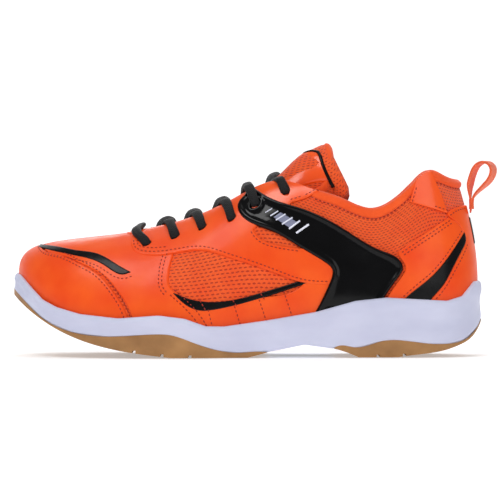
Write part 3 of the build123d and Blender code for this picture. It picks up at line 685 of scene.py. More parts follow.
MAT = {
    "panel": synthetic("orange_synthetic", ORANGE_DEEP, ORANGE_LIGHT),
    "patch": synthetic("orange_gloss_film", srgb(252, 84, 22), srgb(255, 98, 34), (0.14, 0.24), 0.45,
                       0.02),
    # The third colour of each mesh is its slots: the layer beneath, darkened as painted shade.
    "mesh": open_mesh("orange_mesh", srgb(250, 84, 26), srgb(255, 100, 38), srgb(188, 44, 12),
                      3.2, 2.1, 0.72, 0.42),
    "mesh_heel": open_mesh("orange_mesh_collar", srgb(250, 84, 26), srgb(255, 100, 38),
                           srgb(190, 46, 14), 2.9, 2.0, 0.66, 0.38),
    "rim": knit("orange_collar_knit", srgb(240, 80, 24), srgb(255, 98, 38), 0.6),
    "lining": knit("orange_lining", srgb(214, 62, 26), srgb(246, 84, 42), 0.8),
    "black": synthetic("black_synthetic", srgb(6, 6, 7), srgb(14, 14, 16), (0.2, 0.32), 0.1,
                       0.05, 0.12),
    "cage": moulded("black_tpu", srgb(1, 1, 2), srgb(5, 5, 7), (0.1, 0.18), 0.12, 0.06, 1.0, 0.16),
    "decal": moulded("grey_print", srgb(118, 122, 150), srgb(140, 144, 170), (0.3, 0.4), 0.3),
    "decal_pale": moulded("pale_print", srgb(208, 212, 232), srgb(236, 238, 250), (0.3, 0.4), 0.3),
    "midsole": moulded("midsole_foam", srgb(203, 206, 230), srgb(214, 217, 239), (0.5, 0.64), 0.0,
                       0.08, 1.0, 0.3),
    "gum": tread("gum_rubber", srgb(150, 106, 60), srgb(182, 134, 82)),
    "lace": woven("black_lace", srgb(3, 3, 4), srgb(18, 18, 21), 1.3, 1.2, 0.6, 0.04),
    "web": woven("orange_webbing", srgb(242, 90, 40), srgb(255, 118, 72), 1.6, 1.2),
    # The thread is darker than the panels: partly its own red-orange, partly painted shade of the stitch
    # holes.
    "thread": woven("orange_thread", srgb(160, 34, 12), srgb(214, 66, 30), 0.7, 0.5, 0.5, 0.1, 5e-5),
    "sock": knit("sockliner_knit", srgb(34, 34, 38), srgb(66, 66, 72), 0.7, 0.35),
    "board": knit("board_fibre", srgb(186, 180, 168), srgb(214, 208, 196), 0.9),
    "foam": knit("open_foam", srgb(214, 190, 110), srgb(236, 214, 140), 1.4),
    "plate": moulded("shank_nylon", srgb(30, 30, 34), srgb(48, 48, 54), (0.3, 0.45), 0.1),
    "tape": woven("backing_tape", srgb(206, 202, 192), srgb(230, 226, 216), 1.2, 1.0),
}
NODE_MATERIALS = {
    "outsole_forefoot": "gum", "outsole_heel": "gum", "shank_plate": "plate",
    "heel_counter": "plate", "toe_puff": "plate",
}

# ------------------------------------------------------------------ outlines: x and z seen from the side
TOE_CAP = [(-128.5, 68), (-125.6, 65.1), (-116.3, 62.6), (-104, 57.7), (-91.5, 50.8), (-83.4, 42.2),
           (-76.6, 32.2), (-70, 14)]
TOE_ACCENT = [
    [(-129.9, 68.4), (-116.3, 67.2), (-104, 65.1), (-91.5, 63.2), (-79, 56.4), (-71, 52.1)],
    [(-71, 52.1), (-76, 50.6), (-86.5, 55.6), (-93.3, 59.1), (-104, 61.8), (-116.3, 64.2),
     (-129.9, 67.0)]]
EYESTAY_EDGE = [(-69.8, 80), (-71.7, 71.3), (-70.4, 66.3), (-66.7, 63.6), (-62.3, 62.6),
                (-46.8, 63.4), (-26.4, 65.4), (-14, 62), (1.6, 57), (20.2, 50.2), (32.6, 45.9),
                (51.5, 44.4)]
EYESTAY_REAR = [(51.5, 44.4), (60, 54), (48, 70), (10, 96), (5, 108)]
VAMP_REAR = [(-46.8, 63.4), (-48.7, 57.7), (-49.9, 49.6), (-49.3, 43.4), (-46.2, 40.3)]
VAMP_FOOT = [(-46.2, 40.3), (-38, 33), (-31, 25.5), (-24, 14)]
QUARTER_REAR = [(40, 9), (60, 60), (45, 60), (34, 45), (0, 36), (-28, 32.5), (-46.2, 40.3)]
CRESCENT_TOP = [(-46.2, 40.3), (-35.7, 36), (-17.1, 34.1), (-4.7, 36), (9, 39.7), (30.7, 46.3)]
CRESCENT_FOOT = [(37.5, 45.6), (26.4, 41.9), (1.6, 34.1), (-20.2, 29.1), (-30.1, 28.8),
                 (-35.7, 31), (-46.2, 40.3)]
CAGE_TOP = [(-1.6, 98), (1.6, 103.2), (9, 100), (32.6, 91.1), (57.4, 79.4), (82.2, 65.1),
            (91.5, 60.8), (95.2, 55.5), (91.5, 47.7), (83.4, 36), (76, 24)]
CAGE_FRONT = [(36, 18), (45, 34.1), (50.5, 46), (51.8, 53.9), (48, 57.7), (32.6, 67), (14, 77.5),
              (-4.7, 88), (-5.9, 91.8), (-1.6, 98)]
LEAF = [(33, 66.5), (36, 71), (10, 84), (3.6, 78), (7, 73.4), (17, 69), (33, 66.5)]
TOP_PATCH = [(2, 116), (2, 97), (8, 92), (24, 85), (26.4, 94.4), (36, 97.4), (46, 103), (48, 116)]
HEEL_PATCH = [(99.5, 94.9), (102.6, 105.4), (107, 116), (112, 116), (119.4, 99.2), (123.1, 88),
              (113.2, 91.1)]
ACCENT_FRONT = [(133.7, 76.3), (122.5, 60.1), (113.2, 49.6), (105.7, 43.4), (94, 33), (88, 22)]
ACCENT_REAR = [(106, 22), (111.9, 34.7), (119.4, 43.4), (125.6, 53.9), (131.8, 65.1),
               (134.4, 71.3), (133.7, 76.3)]
HEEL_BAND = [(133.7, 76.3), (129.3, 82), (123.7, 85.2), (107, 74.4), (91.9, 64.3), (93, 61.4),
             (96.6, 55.5), (92.7, 47), (84.8, 35.5), (77.4, 22)]
BACKSTAY_TOP = [(133.7, 76.3), (129.3, 82), (123.1, 88), (128, 91.2), (135, 93)]
SIDES = (("lateral", LATERAL), ("medial", MEDIAL))


def mirrored(sheet):
    """The same sheet points on the other side of the toe."""
    return np.column_stack([LAPS * SHEET_T - sheet[:, 0], sheet[:, 1]])


def round_heel(sheet):
    """Medial sheet points with t measured backwards from the heel seam."""
    return np.column_stack([sheet[:, 0] - LAPS * SHEET_T, sheet[:, 1]])


def foot_line(t_from, t_to, v=0.0):
    n = max(2, int(abs(t_to - t_from) * SHEET_T / 1.5))
    return np.column_stack([np.linspace(t_from, t_to, n) * SHEET_T, np.full(n, v * SHEET_V)])


def foot_between(before, after, v=0.0):
    """The foot line's points between the end of one sheet line and the start of the next."""
    return foot_line(before[-1, 0] / SHEET_T, after[0, 0] / SHEET_T, v)[1:-1]


def top_line(t_from, t_to):
    return foot_line(t_from, t_to, 1.0)


def joined(*parts):
    return np.concatenate(parts)


# ------------------------------------------------------------------ the upper's layers
def bootee(name, material, outer, inner, top_of, rough=0.0):
    """One closed skin round the whole foot between two depths, up to top_of(t)."""
    n_t, n_v = 364, 34
    ts = np.linspace(0, LAPS, n_t, endpoint=False)
    verts, uv = [], []
    for t in ts:
        top = float(top_of(t))
        v = np.concatenate([np.linspace(0, top, n_v), np.linspace(top, 0, n_v)])
        depth = np.concatenate([np.full(n_v, outer), np.full(n_v, inner)])
        depth[n_v - 1] -= 0.25
        depth[n_v:] += rough * np.sin(t * 9 + 3 * np.sin(v[n_v:] * 17)) * np.sin(v[n_v:] * 23 + t * 3)
        verts.append(body(np.full(2 * n_v, t), v, depth))
        uv.append(np.column_stack([np.full(2 * n_v, t * SHEET_T), v * SHEET_V]))
    ring = 2 * n_v
    faces = [(i * ring + k, ((i + 1) % n_t) * ring + k, ((i + 1) % n_t) * ring + (k + 1) % ring,
              i * ring + (k + 1) % ring) for i in range(n_t) for k in range(ring)]
    return turned_out(new_mesh(name, np.concatenate(verts), faces, material, np.concatenate(uv)))


def make_bootees():
    """The knitted mesh under every panel, and the brushed lining inside it."""
    mesh = bootee("mesh_upper_skin", MAT["mesh"], MESH_OUT + 0.3, MESH_IN, below_rim)
    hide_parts("mesh_upper")

    def lining_top(t):
        share = np.clip((near_heel(t) - 5.6) / 1.4, 0, 1)
        return 0.6 + (0.985 - 0.6) * eased(share)

    lining = bootee("inner_lining", MAT["lining"], LINING_IN + LINING, LINING_IN, lining_top, 0.12)
    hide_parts("vamp_lining", "heel_lining", "eyestay_lining_lateral",
                "eyestay_lining_medial")


def floor_slab(name, look, inset, corner, low, high, dish=0.0):
    """A slab over the shoe's floor between two heights, with a rounded edge and a dished top."""
    thick = high - low
    profile = [(1, 0), (0.5, 0), (0.06, 0)]
    profile += [(0.06 * (1 - math.sin(a)) * corner, thick * (0.5 - 0.5 * math.cos(a)))
                for a in np.linspace(0.5, math.pi - 0.5, 6)]
    profile += [(0.08, thick), (0.12, thick), (0.3, thick - dish / 2), (0.6, thick - dish * 0.9),
                (1, thick - dish)]
    rings, uv = [], []
    for t in np.linspace(0, LAPS, 300, endpoint=False):
        edge = body(t, 0.1, LINING_IN - inset)[0]
        centre = (edge + body(LAPS - t, 0.1, LINING_IN - inset)[0]) / 2
        floor_z = station(t)[0, 2] + low
        places = [edge * (1 - share) + centre * share for share, _ in profile]
        rings.append(np.array([(p[0], p[1], floor_z + h) for p, (_, h) in zip(places, profile)]))
        uv += [(t * SHEET_T, k * 6.0) for k in range(len(profile))]
    return swept(name, rings, MAT[look], uv, closed_path=True)


def make_footbed():
    """The fibre board, and the soft footbed that lies on it."""
    board = floor_slab("strobel_board_sheet", "board", 0.9, 0.6, 0.05, BOARD_TOP - 0.4)
    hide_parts("strobel_board")
    pad = floor_slab("sockliner_pad", "sock", 1.8, 1.0, BOARD_TOP, BOARD_TOP + 4.0, 0.7)
    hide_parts("sockliner")


def make_backings():
    """The tape behind the eyelets and the thin foam inside each quarter."""
    for name, side in SIDES:
        tape = joined(foot_line(6.75, TOE - 0.5, 0.79), foot_line(TOE - 0.5, 6.75, 0.995))
        pad = joined(foot_line(4.05, TOE - 2.55, 0.01), foot_line(TOE - 2.55, 4.05, 0.53))
        if side == MEDIAL:
            tape, pad = mirrored(tape)[::-1], mirrored(pad)[::-1]
        panel("eyestay_tape_" + name, tape, "tape", CORE_OUT, REINFORCEMENT, 0.4,
              holes=eyelet_holes(side, range(6)), replaces=["eyestay_reinforcement_" + name])
        foam = panel("quarter_foam_" + name, pad, "foam", CORE_OUT, REINFORCEMENT, 0.5,
                     replaces=["quarter_padding_" + name])


def make_front_panels():
    cap = on_side([TOE_CAP], LATERAL)
    cap_foot = cap[-1, 0] / SHEET_T
    crown = cap[0]
    outline = joined(cap, foot_line(cap_foot, LAPS - cap_foot)[1:-1], mirrored(cap)[::-1][:-1])
    panel("toe_cap_skin", outline, "panel", 0.3, 1.5, 0.7, replaces=["toe_cap"])
    cap_edge = cap + (2.5, 0)
    runs = [EYESTAY_EDGE[:6], VAMP_REAR, VAMP_FOOT]
    rear = on_side(runs, LATERAL)
    rear = rear[rear[:, 0] < TOE_LINE - 0.5]
    rear_t = rear[-1, 0] / SHEET_T
    rear_shift = rear - (1.6, 0)
    start = np.array([[TOE_LINE, crown[1] - 3.0]])
    lateral_part = joined(cap_edge[1:] - (5.0, 0), foot_line(cap_foot - 0.1, rear_t)[1:],
                          rear_shift[::-1])
    lateral_part = lateral_part[lateral_part[:, 0] < TOE_LINE - 0.6]
    top = np.array([[TOE_LINE, SHEET_V * 0.995]])
    outline = joined(start, lateral_part, top, mirrored(lateral_part)[::-1])
    panel("vamp_skin", outline, "panel", 0.0, 1.2, 0.6, replaces=["vamp_panel"])
    for name, side in SIDES:
        panel("toe_accent_" + name + "_skin", on_side(TOE_ACCENT, side), "black", 0.5, 1.6, 0.45,
              replaces=["toe_accent_" + name], grid=1.8)


def eyelet_holes(side, which):
    """Round holes on the sheet for some of the eyelets of one side."""
    rings = []
    for i in which:
        t, v = locate([EYELETS[i]], side)[0]
        turn = np.linspace(0, 2 * np.pi, 20, endpoint=False)
        du = np.linalg.norm(body(t + 0.01, v) - body(t - 0.01, v)) / 0.02
        dv = np.linalg.norm(body(t, v + 0.002) - body(t, v - 0.002)) / 0.004
        rings.append(np.column_stack([t * SHEET_T + np.cos(turn) * EYELET_R * SHEET_T / du,
                                      v * SHEET_V + np.sin(turn) * EYELET_R * SHEET_V / dv]))
    return rings


def make_side_panels():
    for name, side in SIDES:
        edge = on_side([EYESTAY_EDGE], side)
        rear = on_side([EYESTAY_REAR], side)
        rear_t = rear[-1, 0] / SHEET_T
        front = np.array([[TOE_LINE, SHEET_V]])
        keep = np.abs(edge[:, 0] - TOE_LINE) > 0.5
        eyestay = joined(front, edge[keep], rear[1:],
                         top_line(rear_t, TOE)[1:-1])
        panel("eyestay_" + name + "_skin", eyestay, "panel", 0.45, 1.6, 0.6,
              holes=eyelet_holes(side, (0, 1, 2, 3)) + [on_side([LEAF[:4], LEAF[3:]], side)],
              replaces=["eyestay_" + name])
        panel("crescent_" + name + "_skin", on_side([CRESCENT_TOP, CRESCENT_FOOT], side), "black",
              0.4, 1.5, 0.5, replaces=["crescent_" + name], grid=1.9)
        foot = on_side([VAMP_FOOT], side)
        rear = on_side([QUARTER_REAR], side)
        quarter = joined(foot, foot_between(foot, rear), rear)
        panel("quarter_" + name + "_skin", quarter, "panel", 0.15, 1.3, 0.6,
              replaces=["quarter_panel_" + name])
        patch = on_side(edges_of(TOP_PATCH), side)
        panel("top_patch_" + name + "_skin", patch, "patch", 0.55, 1.6, 0.5,
              holes=eyelet_holes(side, (5,)), replaces=["top_eyelet_patch_" + name])
        patch = on_side(edges_of(HEEL_PATCH), side)
        panel("heel_patch_" + name + "_skin", patch, "patch", 0.55, 1.6, 0.5,
              replaces=["heel_patch_" + name])
        make_cage(name, side)


def make_cage(name, side):
    top = on_side([CAGE_TOP], side)
    front = on_side([CAGE_FRONT], side)
    outline = joined(top, foot_between(top, front, 0.12), front)

    def profile(flat, gap):
        """A raised rim along the edges and a shallow field between them."""
        rim = np.exp(-((gap - 1.7) / 1.1)**2)
        field = np.clip((gap - 3.2) / 1.5, 0, 1)
        return 0.75 * rim - 0.35 * field

    panel("cage_" + name + "_skin", outline, "cage", CAGE_RISE - 0.35, 2.4, 0.9,
          holes=eyelet_holes(side, (4,)), shape=profile, replaces=["cage_" + name],
          grid=1.7, insets=(0.25, 0.6, 1.1, 1.7, 2.4, 3.2))


def make_heel_panels():
    halves = []
    for name, side in SIDES:
        band = on_side([HEEL_BAND[:3], HEEL_BAND[2:5], HEEL_BAND[4:]], side)
        front = on_side([ACCENT_FRONT[::-1]], side)
        panel("heel_band_" + name + "_skin", joined(band, foot_between(band, front), front), "panel",
              0.35, 1.5, 0.6, replaces=["heel_band_" + name])
        rear = on_side([ACCENT_REAR], side)
        front = front[::-1]
        panel("heel_accent_" + name + "_skin", joined(front, foot_between(front, rear), rear), "black",
              0.55, 1.7, 0.5, replaces=["heel_accent_" + name], grid=1.8)
        top = on_side([BACKSTAY_TOP], side)
        half = joined(rear, top[1:])
        halves.append(half if side == LATERAL else round_heel(half))
    lateral, medial = halves
    outline = joined(foot_line(0, lateral[0, 0] / SHEET_T)[:-1], lateral,
                     medial[::-1], foot_line(medial[0, 0] / SHEET_T, 0)[1:-1])
    bar = [(-0.2, 0.5), (0.2, 0.5), (0.24, 0.68), (-0.24, 0.68)]
    bar = [(t * SHEET_T, v * SHEET_V) for t, v in bar]
    panel("heel_bar_skin", chain(*edges_of(bar)), "black", 0.7,
          0.9, 0.4, grid=1.5)
    panel("backstay_skin", outline, "panel", 0.2, 1.4, 0.6, replaces=["backstay"])


# ------------------------------------------------------------------ swept pieces
SOLE_TOP = [(149, 47), (141, 45.9), (133, 37.2), (123, 34.5), (104, 35.6), (85, 36.6), (66, 34.6),
            (42, 27.9), (12, 22.8), (-14, 19.2), (-25, 19.4), (-38, 24), (-54, 26), (-79, 24.2),
            (-103, 26.7), (-118, 30.8), (-127, 35.2), (-136, 43.8), (-142, 49.6), (-149, 53)]
SOLE_FOOT = [(-151, 44), (-141, 34.1), (-122.5, 20.5), (-97.7, 9.3), (-70, 3.0), (-46, 0), (0, 0),
             (12, 3.1), (35, 7.8), (54, 5.2), (68, 0), (92, 0), (107, 1.9), (121, 4.2), (130, 7.2),
             (137, 11), (142, 16.7), (148, 30)]
GUM_TOP = [(-151, 46), (-141, 37.8), (-125.6, 23.6), (-107, 15.5), (-85, 13), (-60, 14.3),
           (-47, 14), (-30, 8.2), (-17, 4.4), (-5, 3.1), (5, 3.7), (12.5, 3.1), (35, 7.8), (53, 5.6),
           (55, 6.9), (66, 6.2), (82, 9.9), (92, 10.5), (112, 8.2), (124, 8.2), (134, 10.6),
           (141, 17), (148, 28)]
SOLE_GROWTH = [(-6, 0), (6, 3.6), (20, 5.2), (40, 5.5), (60, 4.5)]
RUBBER_WRAP = 3.3
PLATE_MIDDLE, PLATE_REACH = 33.0, 21.0  # the arch plate shows through the foam's foot here
BOARD_TOP = 2.4  # the sockliner lies this far above the feather line


def height_at(outline, x):
    p = np.array(outline, float)
    return np.interp(x, *(p if p[0, 0] < p[-1, 0] else p[::-1]).T)


def make_midsole():
    """The foam cup: rounded rim, bulging wall, and a foot that steps in where rubber wraps it."""
    rings, uv = [], []
    ts = np.linspace(0, LAPS, 416, endpoint=False)
    ahead, back = station(ts + 0.02)[:, :2], station(ts - 0.02)[:, :2]
    along = (ahead - back) / np.linalg.norm(ahead - back, axis=1, keepdims=True)
    outward = np.column_stack([-along[:, 1], along[:, 0]])
    feather = station(ts)
    grow_z, grow_r = np.array(SOLE_GROWTH, float).T
    rim_r = 2.2
    for t, out, row in zip(ts, outward, feather):
        plan = row[:2]
        far = (plan + out * 5)[0]
        top = float(height_at(SOLE_TOP, far))
        low = float(height_at(SOLE_FOOT, far))
        wrap = max(float(height_at(GUM_TOP, far)), low)
        gummed = float(np.clip((wrap - low - 0.2) / 1.5, 0, 1))
        centre = np.array([row[0], (station(t)[0, 1] + station(LAPS - t)[0, 1]) / 2])
        core = low + 3.6 * gummed + 0.05
        step_in = RUBBER_WRAP * 1.05 * gummed
        foot_r = 1.5 * (1 - gummed) + 0.25
        over_plate = 1.4 * float(np.clip((PLATE_REACH - abs(row[0] - PLATE_MIDDLE)) / 2, 0, 1))
        profile = [("in", 1.0, core + over_plate), ("in", 0.52, core + over_plate)]
        profile += [("out", np.interp(core, grow_z, grow_r) - step_in - 1.5, core)]
        if gummed > 0.05:
            profile += [("out", np.interp(wrap, grow_z, grow_r) - 0.5, wrap - 2.0 * gummed)]
        else:
            profile += [("out", np.interp(low, grow_z, grow_r) - 1.6, low)]
        base = wrap if gummed > 0.05 else low
        for a in np.linspace(0, np.pi / 2, 4):
            z = base + foot_r * (1 - np.cos(a))
            profile.append(("out", np.interp(z, grow_z, grow_r) - foot_r * (1 - np.sin(a)), z))
        waist = 0.9 * min((top - base) / 20, 1)
        for share in np.linspace(0.06, 1, 13):
            z = base + foot_r + (top - rim_r - base - foot_r) * share
            bulge = -waist * np.sin(np.pi * share)**2 + 0.35 * np.sin(np.pi * share**4)
            profile.append(("out", np.interp(z, grow_z, grow_r) + bulge, z))
        reach = np.interp(top - rim_r, grow_z, grow_r)
        for a in np.linspace(0.3, np.pi * 0.9, 6):
            profile.append(("out", reach - rim_r * (1 - np.cos(a)) * 0.9,
                            top - rim_r + rim_r * np.sin(a)))
        profile += [("out", reach - rim_r * 1.9, top - 5), ("out", -2.6, row[2] + 1.0),
                    ("out", -3.5, row[2] - 0.4), ("in", 0.5, row[2] - 0.4), ("in", 1.0, row[2] - 0.4)]
        points = []
        for kind, amount, z in profile:
            place = plan + out * amount if kind == "out" else plan * (1 - amount) + centre * amount
            points.append((place[0], place[1], z))
        if gummed <= 0.05:
            points.insert(4, points[3])
        rings.append(np.array(points[:34]))
    count = min(len(r) for r in rings)
    rings = [r[:count] for r in rings]
    uv = [(t * 25, k * 2.0) for t in ts for k in range(count)]
    piece = swept("midsole_skin", rings, MAT["midsole"], uv, closed_path=True)
    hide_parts("midsole")


def swept(name, sections, material, uv=None, closed_path=False, rides="shoe", caps=True):
    """A closed skin through rings that all have the same number of points."""
    n, ring = len(sections), len(sections[0])
    last = n if closed_path else n - 1
    faces = [(i * ring + k, ((i + 1) % n) * ring + k, ((i + 1) % n) * ring + (k + 1) % ring,
              i * ring + (k + 1) % ring) for i in range(last) for k in range(ring)]
    if caps and not closed_path:
        faces += [tuple(range(ring)), tuple((n - 1) * ring + k for k in range(ring))[::-1]]
    piece = new_mesh(name, np.concatenate(sections), faces, material, uv, rides=rides)
    return turned_out(piece)


SIM_SCALE = 10.0  # the cloth solver is steadier on a larger copy
SIM_FRAMES = 20


def inflated(piece, pinned, pressure, cap):
    """Air pressure in a cloth copy swells the padded piece. No point moves more than cap, in metres."""
    count = len(piece.data.vertices)
    rest = np.zeros(count * 3)
    piece.data.vertices.foreach_get("co", rest)
    rest = rest.reshape(-1, 3)
    copy = bpy.data.objects.new("swelling", piece.data.copy())
    scene.collection.objects.link(copy)
    copy.data.vertices.foreach_set("co", (rest * SIM_SCALE).ravel())
    copy.vertex_groups.new(name="pinned").add([int(i) for i in pinned], 1.0, "REPLACE")
    cloth = copy.modifiers.new("cloth", "CLOTH")
    cloth.settings.quality = 6
    cloth.settings.mass = 0.4
    cloth.settings.tension_stiffness = 12
    cloth.settings.compression_stiffness = 12
    cloth.settings.shear_stiffness = 6
    cloth.settings.bending_stiffness = 0.6
    cloth.settings.vertex_group_mass = "pinned"
    cloth.settings.use_pressure = True
    cloth.settings.uniform_pressure_force = pressure
    cloth.settings.effector_weights.gravity = 0
    cloth.collision_settings.use_collision = False
    cloth.point_cache.frame_end = SIM_FRAMES
    for number in range(1, SIM_FRAMES + 1):
        scene.frame_set(number)
    swollen = copy.evaluated_get(bpy.context.evaluated_depsgraph_get()).data
    after = np.zeros(count * 3)
    swollen.vertices.foreach_get("co", after)
    scene.frame_set(1)
    moved = after.reshape(-1, 3) / SIM_SCALE - rest
    length = np.maximum(np.linalg.norm(moved, axis=1, keepdims=True), 1e-9)
    moved *= np.tanh(length / cap) * cap / length
    piece.data.vertices.foreach_set("co", (rest + moved).ravel())
    piece.data.update()
    bpy.data.objects.remove(copy)
    return piece


COLLAR_END = 7.3  # t where the padded roll runs out, either way round from the heel


def make_collar():
    """The padded roll round the ankle opening, from the outside over the edge to the inner lining."""
    key = np.array([  # share of v below the edge, depth, lift over the edge
        (RIM_WIDTH + 0.012, -1.2, 0), (RIM_WIDTH, -0.1, 0), (0.055, 0.75, 0), (0.03, 0.95, 0),
        (0.008, 0.55, 0.2), (0, -0.7, 1.0), (0, -2.6, 1.7), (0, -4.6, 1.5), (0, -6.3, 0.4),
        (0.02, -7.3, 0), (0.06, -7.9, 0), (0.13, -8.2, 0), (0.22, -8.1, 0), (0.32, -7.7, 0),
        (0.42, -7.1, 0), (0.455, -6.2, 0), (0.44, -5.2, 0), (0.3, -4.6, 0), (0.15, -3.6, 0)])
    turn = np.linspace(0, len(key), 40, endpoint=False)
    index = np.arange(len(key) + 1)
    looped = np.vstack([key, key[:1]])
    section = np.column_stack([np.interp(turn, index, looped[:, c]) for c in range(3)])
    rings = []
    ts = np.linspace(-COLLAR_END, COLLAR_END, 150)
    for t in ts:
        close = eased(np.clip((COLLAR_END - abs(t)) / 1.6, 0, 1))
        v = 1 - section[:, 0] * (0.25 + 0.75 * close)
        depth = -2.7 + (section[:, 1] + 2.7) * (0.25 + 0.75 * close)
        points = body(np.full(len(v), t), v, depth)
        points[:, 2] += section[:, 2] * close
        rings.append(points)
    uv = np.array([(t * SHEET_T, k * 0.8) for t in ts for k in range(len(turn))])
    piece = swept("collar_padding", rings, MAT["rim"], uv)
    index = np.arange(len(rings) * len(turn))
    part, row = index % len(turn), index // len(turn)
    held = (part < 3) | (part > len(turn) * 0.74) | (row < 3) | (row > len(rings) - 4)
    inflated(piece, index[held], 4.0, 0.0009)
    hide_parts("collar_rim", "collar_foam", "collar_lining")
    return piece


TONGUE = [(-82, 67.4, 17, 4, 2.6), (-60, 72.6, 17, 6, 4.2), (-37, 80.4, 17, 8, 5.5),
          (-16, 89.6, 17, 11, 6), (4, 99, 16, 15, 6.5), (17, 107.5, 15, 19, 6.5),
          (28, 118, 15, 33, 8), (39, 126.6, 17, 44, 8), (50, 132.2, 18, 51, 7.5)]


def tongue_frames(step):
    rows = natural_curve(TONGUE, step)
    tangent = np.gradient(rows[:, :2], axis=0)
    tangent = unit(tangent)
    return rows, tangent


def arched(row, tangent, across, inset):
    """A point of the tongue: across from -1 to 1, inset below the crown surface."""
    x, z, half, depth, _ = row
    y = across * (half - 0.6 * inset)
    sag = depth * (1 - np.sqrt(np.maximum(1 - np.abs(across)**2.2, 0)))
    up = np.array([-tangent[1], tangent[0]])
    place = np.array([x, z]) - up * (inset + sag)
    return place[0], y, place[1]


def make_tongue():
    """The padded tongue, rounded at its sides and its top edge."""
    rows, tangent = tongue_frames(2.2)
    run = run_of(rows[:, :2])
    across = np.linspace(-0.96, 0.96, 26)
    rings, uv = [], []
    for row, tan, s in zip(rows, tangent, run):
        left = run[-1] - s
        close = np.sqrt(np.clip(1 - (1 - np.clip((left + 0.3) / 5.0, 0, 1))**2, 0.02, 1))
        thick = row[4] * close
        middle = row[4] / 2
        edge = np.sqrt(np.maximum(1 - np.abs(across)**6, 0.03))
        narrow = 1 - 0.07 * (1 - np.sqrt(1 - np.clip(1 - left / 9.0, 0, 1)**2))
        outer = [arched(row, tan, a * narrow, middle - thick / 2 * e - 0.5 * e)
                 for a, e in zip(across, edge)]
        inner = [arched(row, tan, a * narrow, middle + thick / 2 * e) for a, e in zip(across, edge)]
        rings.append(np.array(outer + inner[::-1]))
        round_way = run_of(outer)
        uv += [(s, w) for w in round_way] + [(s, w + 100) for w in round_way[::-1]]
    piece = swept("tongue_padding", rings, MAT["mesh_heel"], uv, rides="tongue")
    index = np.arange(len(rings) * 2 * len(across))
    inflated(piece, index[index // (2 * len(across)) < 12], 4.0, 0.001)
    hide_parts("tongue_face", "tongue_foam", "tongue_lining")
    return piece


def tongue_place(s, a, inset):
    """A point so far along the tongue's crown line, across by a, below its surface by inset."""
    rows, tangent = tongue_frames(1.1)
    run = run_of(rows[:, :2])
    row = at_run(run[-1] + s, run, rows)
    tan = at_run(run[-1] + s, run, tangent)
    return arched(row, unit(tan), a, inset)


def make_tongue_binding():
    """The rolled knit edge round the tongue's free end."""
    turn = np.linspace(0, math.pi, 60)
    side = np.sign(np.cos(turn)) * np.abs(np.cos(turn))**0.5
    back = np.abs(np.sin(turn))**0.5
    path = [(-62 * (1 - b) - 2.0, -0.965 * a) for a, b in zip(side, back)]
    middle = np.array([tongue_place(s, a, 3.9) for s, a in path])
    above = np.array([tongue_place(s, a, 2.9) for s, a in path]) - middle
    above = unit(above)
    along = np.gradient(middle, axis=0)
    along = unit(along)
    out = np.cross(along, above)
    round_way = np.linspace(0, 2 * np.pi, 16, endpoint=False)
    rings = [p + np.outer(np.cos(round_way), u) * 4.2 + np.outer(np.sin(round_way), o) * 2.6
             for p, u, o in zip(middle, above, out)]
    uv = [(k * 1.5, j * 1.2) for k in range(len(rings)) for j in range(16)]
    binding = swept("tongue_binding", rings, MAT["rim"], uv, rides="tongue")


def piping_place(a):
    """Where the piping crosses the tongue, as a distance from its top edge."""
    return -np.interp(abs(a), (0, 0.12, 0.42, 0.56, 0.93), (16.5, 14.5, 8.6, 8.6, 12.0))


def make_tongue_trim():
    """The black piping round the tongue's label and the glossy label itself."""
    across = np.linspace(-0.93, 0.93, 90)
    line = np.array([tongue_place(piping_place(a), a, -0.5) for a in across])
    along = np.gradient(line, axis=0)
    along = unit(along)
    centre = line.mean(0) - (12, 0, 12)
    turn = np.linspace(0, 2 * np.pi, 10, endpoint=False)
    rings, uv = [], []
    for k, (p, d) in enumerate(zip(line, along)):
        out = p - centre
        out -= d * (out @ d)
        out = unit(out)
        flat = np.cross(d, out)
        rings.append(p + np.outer(np.cos(turn), flat) * 1.3 + np.outer(np.sin(turn), out) * 0.9)
        uv += [(k * 0.9, j * 0.6) for j in range(10)]
    piping = swept("tongue_piping", rings, MAT["black"], uv, rides="tongue")
    wide = np.linspace(-0.88, 0.88, 50)
    rings, uv = [], []
    for share in np.linspace(0, 1, 26):
        end = min(share, 1 - share) * 26
        soft = 0.5 * np.sqrt(np.clip(1 - (1 - min(end, 2) / 2)**2, 0, 1))
        edge = 0.55 * np.sqrt(np.maximum(1 - (np.abs(wide) / 0.88)**14, 0))
        places = [-48 + (piping_place(a) + 48) * share for a in wide]
        outer = [tongue_place(s, a, -0.6 - min(soft, e)) for s, a, e in zip(places, wide, edge)]
        inner = [tongue_place(s, a, 0.3) for s, a in zip(places, wide)]
        rings.append(np.array(outer + inner[::-1]))
        uv += [(share * 24, a * 15) for a in wide] * 2
    label = swept("tongue_label_skin", rings, MAT["patch"], uv, rides="tongue")
    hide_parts("tongue_label")


